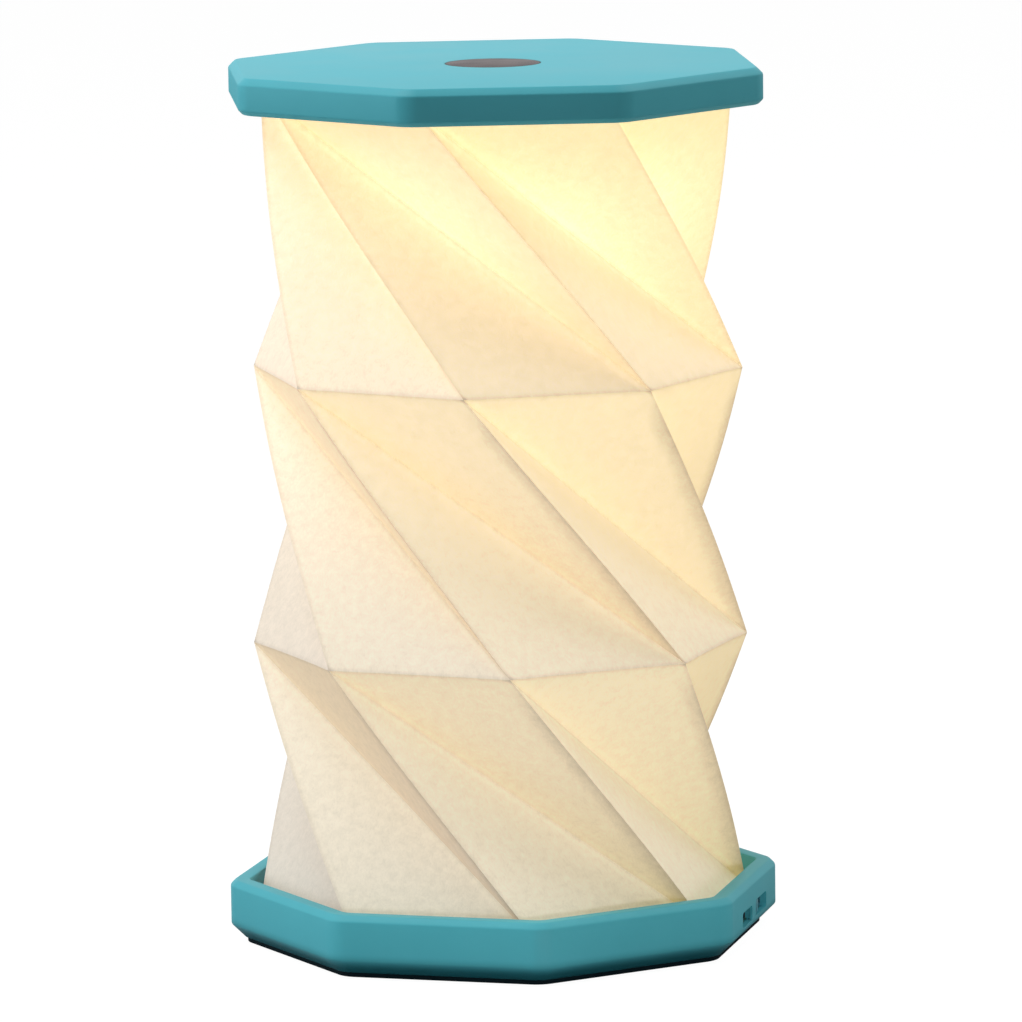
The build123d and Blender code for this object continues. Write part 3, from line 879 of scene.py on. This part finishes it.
@dataclass
class ScrewSet:
    """The screws of one node, all alike, with their heads down on one seat."""

    node: str
    body: str
    places: list[Place]
    turn_step: float = 0.7

    def build(self, shelf: FinishShelf) -> None:
        """Models one screw, copies it to every place and dresses the copies."""
        kind = PanScrew()
        low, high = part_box(self.node)
        seat = low.z + kind.head_height
        pattern = kind.model(high.z - seat)
        for number, (x, y) in enumerate(self.places, start=1):
            turn = Matrix.Rotation(self.turn_step * number, 4, "Z")
            screw = pattern.copy_to(f"{self.node}_{number}", Matrix.Translation((x, y, seat)) @ turn)
            settle(screw, self.body, "screw_steel", shelf["zinc_screw"], self.node)
        bpy.data.objects.remove(pattern.piece)


@dataclass(frozen=True)
class ScrewBoss:
    """A round boss with the pilot hole that a screw bites into."""

    radius: float = 3.0 * MM
    facets: int = 32
    pilot_radius: float = 1.03 * MM
    pilot_facets: int = 24
    bite: float = 1.0 * MM

    def stand(self, shell: Workpiece, low: float, root: float, place: Place) -> None:
        """Joins a boss to the shell, from its low end up to the root that it grows from, and drills it."""
        shell.join(Workpiece.prism("boss", self.facets, self.radius, low, root + JOIN_OVERLAP, place))
        self.drill(shell, low, root, place)

    def drill(self, shell: Workpiece, low: float, root: float, place: Place) -> None:
        """Drills the pilot hole upwards from the low end, past the root by the screw's bite."""
        shell.cut(Workpiece.prism(
            "pilot_cut", self.pilot_facets, self.pilot_radius, low - CUT_MARGIN, root + self.bite, place
        ))


def circle_places(radius: float, count: int, turn: float = 0.0) -> list[Place]:
    """Gives places evenly spaced on a circle, the first at one side's angle from +X.

    Args:
        radius: The circle's radius.
        count: How many places there are.
        turn: A turn of them all, in radians.

    Returns:
        The places, as x and y.
    """
    angles = [SIDE_ANGLE + turn + math.tau * number / count for number in range(count)]
    return [(radius * math.cos(angle), radius * math.sin(angle)) for angle in angles]


# ---------------------------------------------------------------- lid
@dataclass
class Lid:
    """The bevelled lid, its round inlay and its screws."""

    turn: float
    flat_radius: float
    bottom: float
    top: float
    corner_radius: float = 8.0 * MM
    wall: float = 3.5 * MM
    skin: float = 1.8 * MM
    bevel: float = 1.7 * MM
    lower_chamfer: float = 1.2 * MM
    edge_softness: float = 0.3 * MM
    disc_recess_depth: float = 1.0 * MM
    disc_fit: float = 0.05 * MM
    disc_edge: float = 0.2 * MM
    disc_facets: int = 96
    pad_radius: float = 15.0 * MM
    pad_depth: float = 0.7 * MM
    pad_facets: int = 64
    screw_distance: float = 44.0 * MM
    screw_count: int = 4

    def __post_init__(self) -> None:
        """Works out the ceiling, the inlay's size and the screws' places."""
        self.ceiling = self.top - self.skin
        low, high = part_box("lid_disc")
        self.disc_radius = (high.x - low.x) / 2
        self.disc_low, self.disc_high = low.z, high.z
        self.screw_places = circle_places(self.screw_distance, self.screw_count, self.turn)

    def shell(self) -> Workpiece:
        """Models the lid's shell: bevelled outside, hollow below, with a recess for the inlay."""
        shell = octagon_block(
            "lid_shell", self.flat_radius, self.bottom, self.top, self.corner_radius, self.turn
        )
        shell.bevel_level(self.top, self.bevel)
        shell.bevel_level(self.bottom, self.lower_chamfer)
        shell.sink(self.bottom, False, self.wall - self.lower_chamfer, self.ceiling - self.bottom)
        shell.soften(self.edge_softness, segments=3)
        shell.join(Workpiece.prism(
            "pad", self.pad_facets, self.pad_radius, self.ceiling - self.pad_depth,
            self.ceiling + JOIN_OVERLAP,
        ))
        shell.cut(Workpiece.prism(
            "recess_cut", self.disc_facets, self.disc_radius + self.disc_fit,
            self.top - self.disc_recess_depth, self.top + CUT_MARGIN,
        ))
        plate_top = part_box("lid_plate")[1].z
        for place in self.screw_places:
            ScrewBoss().stand(shell, plate_top, self.ceiling, place)
        return shell.smooth()

    def disc(self) -> Workpiece:
        """Models the inlay: a thin disc with a fine bevel round its upper edge."""
        disc = Workpiece.prism(
            "lid_inlay", self.disc_facets, self.disc_radius, self.disc_low, self.disc_high
        )
        return disc.bevel_level(self.disc_high, self.disc_edge, segments=2).smooth()

    def build(self, shelf: FinishShelf) -> None:
        """Builds and dresses the lid's own pieces."""
        settle(self.shell().piece, "lid", "teal_shell", shelf["moulded_teal"], "lid_cover")
        settle(self.disc().piece, "lid", "disc_metal", shelf["disc_metal"], "lid_disc")
        ScrewSet("lid_screws", "lid", self.screw_places).build(shelf)


# ---------------------------------------------------------------- base
@dataclass(frozen=True)
class Cutout:
    """A rounded opening through the base's side, and the pocket behind it."""

    centre_y: float
    centre_z: float
    width: float
    height: float
    pocket_node: str
    pocket_gap: float = 0.15 * MM
    pocket_drop: float = 1.2 * MM
    throat_depth: float = 0.0
    throat_relief: float = 0.6 * MM

    def opening(self, inside: float, outside: float) -> Workpiece:
        """Models the cutter for the opening: a block with rounded corners along X."""
        half = Vector((0, self.width / 2, self.height / 2))
        centre = Vector((0, self.centre_y, self.centre_z))
        cutter = Workpiece.block(
            "opening_cut", centre - half + Vector((inside, 0, 0)), centre + half + Vector((outside, 0, 0))
        )

        def runs_along_x(edge: bpy.types.MeshEdge) -> bool:
            """Says whether an edge runs through the wall."""
            first, last = cutter.ends(edge)
            return abs(first.x - last.x) > LEVEL_TOLERANCE

        return cutter.bevel_edges(runs_along_x, self.height / 4, segments=5)

    def throat(self, mouth: float) -> Workpiece:
        """Models the cutter for the wider, dark space behind the opening's thin edge."""
        half_width = self.width / 2 + self.throat_relief
        return Workpiece.block(
            "throat_cut",
            (mouth - self.throat_depth, self.centre_y - half_width, self.centre_z - self.height / 2),
            (mouth, self.centre_y + half_width, self.centre_z + self.height / 2),
        )

    def pocket(self, floor_under: float, skin_inside: float) -> Workpiece:
        """Models the cutter for the pocket round the part behind the opening."""
        low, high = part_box(self.pocket_node)
        gap = self.pocket_gap
        return Workpiece.block(
            "pocket_cut", (low.x - gap, low.y - gap, floor_under - self.pocket_drop),
            (skin_inside, high.y + gap, high.z + gap),
        )


@dataclass
class SwitchKnob:
    """The switch's slider: a foot in its case, a neck through the wall and a knob with finger grooves."""

    back: float
    width: float = 3.6 * MM
    foot_depth: float = 1.6 * MM
    foot_height: float = 2.6 * MM
    neck_width: float = 2.4 * MM
    neck_height: float = 1.6 * MM
    groove_pitch: float = 0.9 * MM
    groove_width: float = 0.4 * MM
    groove_depth: float = 0.3 * MM
    softness: float = 0.08 * MM

    def __post_init__(self) -> None:
        """Reads the slider's place from its node."""
        self.low, self.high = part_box("switch_slider")
        self.middle = (self.low + self.high) / 2

    def block(
        self, name: str, back: float, front: float, width: float, height: float, aside: float = 0.0
    ) -> Workpiece:
        """Starts a block in line with the slider's middle.

        Args:
            name: The block's name.
            back: Where it starts along X.
            front: Where it ends along X.
            width: Its width along Y.
            height: Its height.
            aside: How far it stands beside the middle, along Y.

        Returns:
            The block.
        """
        y, z = self.middle.y + aside, self.middle.z
        low = (back, y - width / 2, z - height / 2)
        return Workpiece.block(name, low, (front, y + width / 2, z + height / 2))

    def model(self) -> Workpiece:
        """Models the slider in one piece."""
        front, height = self.high.x, self.high.z - self.low.z
        knob = self.block("switch_knob", self.back, front, self.width, height)
        for number in (-1, 0, 1):
            knob.cut(self.block(
                "groove_cut", front - self.groove_depth, front + CUT_MARGIN, self.groove_width,
                height + 2 * CUT_MARGIN, aside=number * self.groove_pitch,
            ))
        knob.soften(self.softness)
        foot_front = self.low.x + self.foot_depth
        neck = self.block(
            "neck", foot_front - SLIGHT_OVERLAP, self.back + SLIGHT_OVERLAP, self.neck_width, self.neck_height
        )
        foot = self.block("foot", self.low.x, foot_front, self.high.y - self.low.y, self.foot_height)
        return knob.join(neck, foot).smooth()


@dataclass
class Base:
    """The tray that the lamp stands on, its foot, its switch knob and its screws."""

    flat_radius: float
    bottom: float
    top: float
    floor_top: float
    corner_radius: float = 8.0 * MM
    rim_width: float = 5.0 * MM
    rim_chamfer: float = 1.4 * MM
    heel_chamfer: float = 3.6 * MM
    heel_ledge: float = 2.4 * MM
    floor_thickness: float = 1.7 * MM
    edge_softness: float = 0.35 * MM
    outer_skin: float = 1.6 * MM
    opening_skin: float = 0.7 * MM
    shroud_wall: float = 0.8 * MM
    screw_count: int = 4
    screw_distance: float = 46.0 * MM
    board_screw_place: Place = (28.0 * MM, 15.0 * MM)
    grommet_hole_radius: float = 2.5 * MM
    grommet_hole_facets: int = 48
    foot_inset: float = 0.4 * MM
    foot_band: float = 8.0 * MM
    foot_corner_radius: float = 6.0 * MM
    foot_softness: float = 0.2 * MM
    port: Cutout = Cutout(
        centre_y=-7.65 * MM, centre_z=7.75 * MM, width=10.8 * MM, height=3.8 * MM,
        pocket_node="usb_socket", throat_depth=4.0 * MM,
    )
    switch_slot: Cutout = Cutout(
        centre_y=7.65 * MM, centre_z=8.1 * MM, width=12.3 * MM, height=4.1 * MM, pocket_node="switch_body",
    )

    def __post_init__(self) -> None:
        """Works out where the floor and the skin end inside, and the screws' places."""
        self.floor_under = self.floor_top - self.floor_thickness
        self.skin_inside = self.flat_radius - self.outer_skin
        self.cover_screw_places = circle_places(self.screw_distance, self.screw_count)
        x, y = self.board_screw_place
        self.board_screw_places = [(x, y), (x, -y)]

    def tray(self) -> Workpiece:
        """Models the tray: chamfered rim and heel, shade's tray above and cavity below."""
        tray = octagon_block("tray_shell", self.flat_radius, self.bottom, self.top, self.corner_radius)
        tray.bevel_level(self.top, self.rim_chamfer)
        tray.bevel_level(self.bottom, self.heel_chamfer)
        tray.sink(self.top, True, self.rim_width - self.rim_chamfer, self.top - self.floor_top)
        tray.sink(self.bottom, False, self.heel_ledge, self.floor_under - self.bottom)
        tray.soften(self.edge_softness, segments=3)
        self.cut_side(tray)
        self.add_bosses(tray)
        return tray.smooth()

    def cut_side(self, tray: Workpiece) -> None:
        """Cuts the port and the switch slot, with the shroud and the pockets behind them."""
        low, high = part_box("usb_socket")
        wall = self.shroud_wall + self.port.pocket_gap
        tray.join(Workpiece.block(
            "shroud", (low.x - wall, low.y - wall, self.floor_top - JOIN_OVERLAP),
            (self.flat_radius - self.rim_width + JOIN_OVERLAP, high.y + wall, high.z + wall),
        ))
        for cutout in (self.port, self.switch_slot):
            tray.cut(cutout.pocket(self.floor_under, self.skin_inside))
            tray.cut(cutout.opening(self.skin_inside - SLIGHT_OVERLAP, self.flat_radius + CUT_MARGIN))
            if cutout.throat_depth:
                tray.cut(cutout.throat(self.flat_radius - self.opening_skin))

    def add_bosses(self, tray: Workpiece) -> None:
        """Adds the screw bosses under the floor, and the holes in them and in the floor."""
        cover_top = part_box("bottom_cover")[1].z
        for place in self.cover_screw_places:
            ScrewBoss().stand(tray, cover_top, self.floor_under, place)
        for place in self.board_screw_places:
            ScrewBoss().drill(tray, self.floor_under, self.floor_under, place)
        low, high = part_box("lead_grommet")
        tray.cut(Workpiece.prism(
            "grommet_cut", self.grommet_hole_facets, self.grommet_hole_radius,
            self.floor_under - CUT_MARGIN, self.floor_top + CUT_MARGIN, ((low.x + high.x) / 2, 0.0),
        ))

    def foot(self) -> Workpiece:
        """Models the foot: a flat rubber band with softened edges."""
        flat_radius = self.flat_radius - self.heel_chamfer - self.foot_inset
        foot = octagon_block("foot_ring", flat_radius, 0.0, self.bottom, self.foot_corner_radius)
        for level, upwards in ((0.0, False), (self.bottom, True)):
            with foot.editing(Pick.FACES, foot.faces_at(level, upwards)):
                bpy.ops.mesh.inset(thickness=self.foot_band)
        inner_corner = (flat_radius - self.foot_band) / CORNER_COSINE

        def is_middle(face: bpy.types.MeshPolygon) -> bool:
            """Says whether a level face is the one inside the band."""
            reaches = [foot.piece.data.vertices[index].co.xy.length for index in face.vertices]
            return abs(face.normal.z) > LEVEL_NORMAL and max(reaches) < inner_corner + LEVEL_TOLERANCE

        with foot.editing(Pick.FACES, is_middle):
            bpy.ops.mesh.bridge_edge_loops()
        return foot.soften(self.foot_softness).smooth()

    def build(self, shelf: FinishShelf) -> None:
        """Builds and dresses the base's own pieces."""
        settle(self.tray().piece, "base", "teal_shell", shelf["moulded_teal"], "base_tray")
        settle(self.foot().piece, "base", "foot_rubber", shelf["foot_rubber"], "rubber_foot_ring")
        knob = SwitchKnob(self.skin_inside + SLIGHT_OVERLAP).model()
        settle(knob.piece, "switch", "slider_plastic", shelf["slider_plastic"], "switch_slider")
        ScrewSet("base_screws", "base", self.cover_screw_places).build(shelf)
        ScrewSet("board_screws", "base", self.board_screw_places).build(shelf)


# ---------------------------------------------------------------- paper shade
@dataclass
class Tier:
    """One folded storey of the shade: its height, and how far its upper fold is turned, clockwise."""

    height: float
    turn: float


@dataclass
class PaperShade:
    """One sheet of paper in three twist-folded tiers, eight sides each."""

    radius: float
    bottom: float
    tiers: tuple[Tier, ...]
    cuts: int = 3
    smoothing: int = 2
    thickness: float = 0.35 * MM
    mountain_bow: float = 2.0 * MM
    bow_sharpness: int = 6
    facet_swell: float = 0.7 * MM
    folded_turn: float = math.tau / 4

    def __post_init__(self) -> None:
        """Works out the levels and turns of the fold rings."""
        self.levels = [self.bottom]
        self.turns = [0.0]
        for tier in self.tiers:
            self.levels.append(self.levels[-1] + tier.height)
            self.turns.append(self.turns[-1] - tier.turn)

    def fold(self) -> Workpiece:
        """Models the folded sheet: a ring of eight edges, pulled up and twisted once for each tier."""
        deselect_all()
        bpy.ops.mesh.primitive_circle_add(
            vertices=SIDES, radius=self.radius, fill_type="NOTHING",
            location=(0, 0, self.bottom), rotation=(0, 0, FIRST_CORNER),
        )
        bpy.context.object.name = "folded_paper"
        sheet = Workpiece(bpy.context.object)
        for level, tier in zip(self.levels, self.tiers):
            with sheet.editing(Pick.EDGES, lambda edge: sheet.is_level(edge, level)):
                bpy.ops.mesh.extrude_edges_move(TRANSFORM_OT_translate={"value": (0, 0, tier.height)})
                # with no window this operator turns against the sign of its angle
                bpy.ops.transform.rotate(value=tier.turn, orient_axis="Z", center_override=(0, 0, 0))
        with sheet.editing(Pick.FACES, lambda face: True):
            bpy.ops.mesh.quads_convert_to_tris(quad_method="LONGEST_DIAGONAL")
        self.measure_creases(sheet.piece.data)
        with sheet.editing(Pick.FACES, lambda face: True):
            bpy.ops.mesh.subdivide(number_cuts=self.cuts)
        return sheet

    def measure_creases(self, mesh: bpy.types.Mesh) -> None:
        """Writes each facet's distances to its three folds on its corners, and which way it falls.

        A facet has one level fold, one outward fold and one inward fold, which is the longest.
        """
        mesh.attributes.new("crease_distance", "FLOAT_VECTOR", "CORNER")
        mesh.attributes.new("falls_right", "FLOAT", "CORNER")
        distances, sides = mesh.attributes["crease_distance"], mesh.attributes["falls_right"]
        for face in mesh.polygons:
            points = [mesh.vertices[index].co for index in face.vertices]
            level = [abs(points[i - 1].z - points[i - 2].z) < LEVEL_TOLERANCE for i in range(3)]
            opposite_ring = level.index(True)
            others = [i for i in range(3) if i != opposite_ring]
            spans = {i: (points[i - 1] - points[i - 2]).length for i in others}
            opposite_valley = max(others, key=spans.get)
            opposite_mountain = min(others, key=spans.get)
            falls_right = points[opposite_ring].z > points[opposite_ring - 1].z
            for corner, loop in enumerate(face.loop_indices):
                values = [0.0, 0.0, 0.0]
                for axis, opposite in enumerate((opposite_ring, opposite_mountain, opposite_valley)):
                    if corner == opposite:
                        span = (points[opposite - 1] - points[opposite - 2]).length
                        values[axis] = 2 * face.area / span
                distances.data[loop].vector = values
                sides.data[loop].value = float(falls_right)

    def relax(self, mesh: bpy.types.Mesh) -> None:
        """Bows the outward folds and swells the facets a little, as pulled paper does.

        Keeps each point's own place on the unbent sheet in an attribute, for the pattern.
        """
        distances = mesh.attributes["crease_distance"]
        largest = [max(item.vector[axis] for item in distances.data) for axis in range(3)]
        pushes = [0.0] * len(mesh.vertices)
        for face in mesh.polygons:
            for loop in face.loop_indices:
                ring, mountain, valley = (
                    distances.data[loop].vector[axis] / largest[axis] for axis in range(3)
                )
                # 27 and 4 make each product 1 where it is largest
                swell = 27 * ring * mountain * valley * self.facet_swell
                along, beside = 4 * ring * (1 - ring), (1 - mountain) ** self.bow_sharpness
                bow = along * beside * self.mountain_bow
                index = mesh.loops[loop].vertex_index
                pushes[index] = max(pushes[index], swell + bow)
        places = mesh.attributes.new("flat_place", "FLOAT_VECTOR", "POINT")
        for vertex, push in zip(mesh.vertices, pushes):
            places.data[vertex.index].vector = vertex.co
            out = Vector((vertex.co.x, vertex.co.y, 0)).normalized()
            vertex.co += out * push

    def sharpen(self, mesh: bpy.types.Mesh) -> None:
        """Marks every fold as a sharp crease, so that smoothing rounds only the facets."""
        near = {}
        distances = mesh.attributes["crease_distance"]
        for face in mesh.polygons:
            values = {
                mesh.loops[loop].vertex_index: distances.data[loop].vector for loop in face.loop_indices
            }
            for first, last in face.edge_keys:
                on_fold = any(
                    values[first][axis] < LEVEL_TOLERANCE and values[last][axis] < LEVEL_TOLERANCE
                    for axis in range(3)
                )
                near[(first, last)] = on_fold
        creases = mesh.attributes.new("crease_edge", "FLOAT", "EDGE")
        for edge in mesh.edges:
            creases.data[edge.index].value = float(near[edge.key])
        for edge in mesh.edges:
            edge.use_edge_sharp = near[edge.key]

    def follow_twist(self, piece: bpy.types.Object) -> None:
        """Lets the sheet twist with the lid: each tier adds its share, up to its turn when folded flat."""
        whole = sum(self.folded_turn - tier.turn for tier in self.tiers)
        for number, tier in enumerate(self.tiers, start=1):
            low, high = self.levels[number - 1], self.levels[number]
            group = piece.vertex_groups.new(name=f"tier_{number}")
            for vertex in piece.data.vertices:
                group.add([vertex.index], min(1.0, max(0.0, (vertex.co.z - low) / (high - low))), "REPLACE")
            guide = bpy.data.objects.new(f"twist_guide_{number}", None)
            bpy.context.scene.collection.objects.link(guide)
            turning = guide.constraints.new("COPY_ROTATION")
            turning.target = frame["bodies"]["lid"]
            turning.influence = (self.folded_turn - tier.turn) / whole
            hook = piece.modifiers.new(f"twist_{number}", "HOOK")
            hook.object = guide
            hook.vertex_group = group.name

    def collapse_with_lid(self, piece: bpy.types.Object) -> None:
        """Writes each point's share of the lid's travel for folding the sheet flat between the base and the
        shade: an even share by its level.
        """
        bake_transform(piece, "base", "shade", start=(0, 0, self.levels[0]), end=(0, 0, self.levels[-1]))
        shares = piece.data.attributes["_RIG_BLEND"]
        height = self.levels[-1] - self.levels[0]
        for vertex in piece.data.vertices:
            shares.data[vertex.index].value = (vertex.co.z - self.levels[0]) / height

    def build(self, shelf: FinishShelf) -> None:
        """Folds, relaxes, thickens and dresses the sheet."""
        sheet = self.fold()
        piece = sheet.piece
        mesh = piece.data
        self.relax(mesh)
        self.sharpen(mesh)
        self.follow_twist(piece)
        smooth = piece.modifiers.new("curve_facets", "SUBSURF")
        smooth.levels = smooth.render_levels = self.smoothing
        smooth.uv_smooth = "NONE"
        wall = piece.modifiers.new("paper_thickness", "SOLIDIFY")
        wall.thickness = self.thickness
        wall.offset = -1.0
        paint(piece, shelf["glowing_paper"])
        mesh.polygons.foreach_set("use_smooth", [True] * len(mesh.polygons))
        self.collapse_with_lid(piece)
        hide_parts("paper_shade")
        LOG.info("%s: %d facets in %d tiers", piece.name, 2 * SIDES * len(self.tiers), len(self.tiers))


# ---------------------------------------------------------------- what the frame already shapes
def dress_nodes(nodes: Mapping[str, bpy.types.Object], shelf: FinishShelf) -> None:
    """Gives each frame node that stays in view its finish.

    Args:
        nodes: The frame's nodes by name.
        shelf: The finishes.
    """
    finishes = {
        "bottom_cover": "moulded_teal_cover",
        "battery_pad": "foam_pad",
        "battery_cell": "cell_foil",
        "main_board": "green_board",
        "board_chips": "chip_black",
        "battery_header": "header_nylon",
        "lamp_header": "header_nylon",
        "led_header": "header_nylon",
        "battery_lead": "lead_insulation",
        "usb_socket": "socket_steel",
        "switch_body": "switch_case",
        "lead_grommet": "grommet_rubber",
        "shade_bottom_frame": "frame_card",
        "shade_top_frame": "frame_card",
        "disc_tape": "tape",
        "lid_plate": "white_plate",
        "led_board": "led_board_white",
        "led_chips": "led_phosphor",
        "led_diffuser": "milky_plastic",
    }
    for name, finish in finishes.items():
        paint(nodes[name], shelf[finish])
        LOG.info("%s: frame node in %s", name, finish)


# ---------------------------------------------------------------- studio
@dataclass(frozen=True)
class Softbox:
    """A square soft lamp that looks at a point of the object."""

    name: str
    place: Triple
    size: float
    power: float
    tint: Triple = (1.0, 1.0, 1.0)
    aim: Triple = MIDDLE
    spread: float = math.pi

    def build(self) -> None:
        """Hangs the lamp and turns it to its aim."""
        deselect_all()
        turn = (Vector(self.place) - Vector(self.aim)).to_track_quat("Z", "Y").to_euler()
        bpy.ops.object.light_add(type="AREA", location=self.place, rotation=turn)
        lamp = bpy.context.object
        lamp.name = self.name
        lamp.data.size = self.size
        lamp.data.energy = self.power
        lamp.data.color = self.tint
        lamp.data.spread = self.spread


@dataclass(frozen=True)
class PhotoCamera:
    """The photograph's viewpoint, as pixels of its square frame say it."""

    frame_pixels: float = 1022.0
    focal_pixels: float = 7457.0
    centre_pixel: Place = (499.0, 505.48)
    aim: Triple = MIDDLE
    distance: float = 1.892
    elevation: float = math.radians(8.746)
    azimuth: float = math.radians(14.755)
    roll: float = math.radians(-0.8)
    sensor: float = 36.0

    def build(self) -> None:
        """Adds the camera and makes it the scene's."""
        level, rise = math.cos(self.elevation), math.sin(self.elevation)
        back = Vector((math.sin(self.azimuth) * level, -math.cos(self.azimuth) * level, rise))
        right = Vector((math.cos(self.azimuth), math.sin(self.azimuth), 0.0))
        up = back.cross(right)
        turned = Matrix.Rotation(self.roll, 4, back)
        right, up = turned @ right, turned @ up
        deselect_all()
        bpy.ops.object.camera_add()
        camera = bpy.context.object
        camera.name = "photo_camera"
        place = Vector(self.aim) + back * self.distance
        camera.matrix_world = Matrix.Translation(place) @ Matrix((right, up, back)).transposed().to_4x4()
        camera.data.sensor_width = self.sensor
        camera.data.lens = self.focal_pixels / self.frame_pixels * self.sensor
        across, down = self.centre_pixel
        camera.data.shift_x = (self.frame_pixels / 2 - across) / self.frame_pixels
        camera.data.shift_y = (down - self.frame_pixels / 2) / self.frame_pixels
        bpy.context.scene.camera = camera


class Studio:
    """A pale floor, a white room and soft lamps."""

    FLOOR_SIZE = 14.0
    FLOOR_WHITE = 0.86
    FLOOR_GREY = (0.55, 0.55, 0.55, 1.0)
    FLOOR_GLOW = 1.135
    AMBIENT = 0.13
    LAMPS = (
        Softbox("key_above", (-0.7, -0.2, 1.7), size=1.0, power=19.0, tint=(0.93, 1.0, 1.0)),
        Softbox("fill_left", (-1.7, -0.55, 0.5), size=1.0, power=11.5, tint=(0.82, 0.98, 1.0)),
        Softbox("right_above", (0.85, 0.4, 1.4), size=1.0, power=8.8, tint=(1.0, 1.0, 0.97)),
        Softbox("low_card", (0.6, -0.95, 0.05), size=0.25, power=0.06, aim=(0.0, 0.0, 0.0),
                spread=math.radians(16)),
    )

    def build(self) -> None:
        """Sets up the room."""
        self.floor()
        self.world()
        for lamp in self.LAMPS:
            lamp.build()
        PhotoCamera().build()
        bpy.context.scene.view_settings.view_transform = "Standard"

    def seen(self, graph: Graph) -> Flow:
        """Gives 1 for the rays that look, reflect or pass through, which see a white room."""
        rays = graph.node("ShaderNodeLightPath").outputs
        straight = Flow(graph, rays["Is Camera Ray"])
        glossy = Flow(graph, rays["Is Glossy Ray"])
        through = Flow(graph, rays["Is Transmission Ray"])
        return graph.math("MINIMUM", straight + glossy + through, 1.0)

    def floor(self) -> None:
        """Lays the floor: pale, near white to the camera, with the lamp's shadow on it."""
        deselect_all()
        bpy.ops.mesh.primitive_plane_add(size=self.FLOOR_SIZE)
        floor = bpy.context.object
        floor.name = "studio_floor"
        graph = Graph(bpy.data.materials.new("studio_floor"))
        straight = Flow(graph, graph.node("ShaderNodeLightPath").outputs["Is Camera Ray"])
        matt = graph.node("ShaderNodeBsdfDiffuse", inputs={"Color": self.FLOOR_GREY})
        white = graph.node("ShaderNodeEmission", inputs={
            "Color": WHITE, "Strength": self.FLOOR_GLOW,
        })
        both = graph.node("ShaderNodeMixShader", inputs={
            "Fac": straight * self.FLOOR_WHITE,
            "Shader": Flow(graph, matt.outputs[0]),
            "Shader_001": Flow(graph, white.outputs[0]),
        })
        graph.node("ShaderNodeOutputMaterial", inputs={"Surface": Flow(graph, both.outputs[0])})
        paint(floor, graph.owner)

    def world(self) -> None:
        """Makes the room white to look at and a plain grey to be lit by."""
        world = bpy.data.worlds.new("studio_room")
        bpy.context.scene.world = world
        graph = Graph(world)
        strength = self.seen(graph) * (1 - self.AMBIENT) + self.AMBIENT
        shine = graph.node("ShaderNodeBackground", inputs={"Color": WHITE, "Strength": strength})
        graph.node("ShaderNodeOutputWorld", inputs={"Surface": Flow(graph, shine.outputs[0])})


def main() -> None:
    """Builds the lamp around the frame, then the room and the camera."""
    logging.basicConfig(level=logging.INFO, format="%(name)s: %(message)s")
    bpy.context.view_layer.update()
    shelf = FinishShelf()
    tiers = (
        Tier(66.8 * MM, math.radians(50.8)),
        Tier(69.6 * MM, math.radians(54.6)),
        Tier(70.9 * MM, math.radians(55.16)),
    )
    lid_turn = -sum(tier.turn for tier in tiers)
    tray_low, tray_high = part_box("base_tray")
    lid_low, lid_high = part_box("lid_cover")
    paper_low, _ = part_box("paper_shade")
    floor_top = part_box("shade_bottom_frame")[0].z
    Base(flat_radius=tray_high.x, bottom=tray_low.z, top=tray_high.z, floor_top=floor_top).build(shelf)
    Lid(turn=lid_turn, flat_radius=tray_high.x, bottom=lid_low.z, top=lid_high.z).build(shelf)
    shade_clearance = 3.0 * MM
    shade_flat_radius = tray_high.x - Base.rim_width - shade_clearance
    PaperShade(shade_flat_radius / CORNER_COSINE, paper_low.z, tiers).build(shelf)
    dress_nodes(frame["nodes"], shelf)
    Studio().build()


if __name__ == "__main__":
    main()
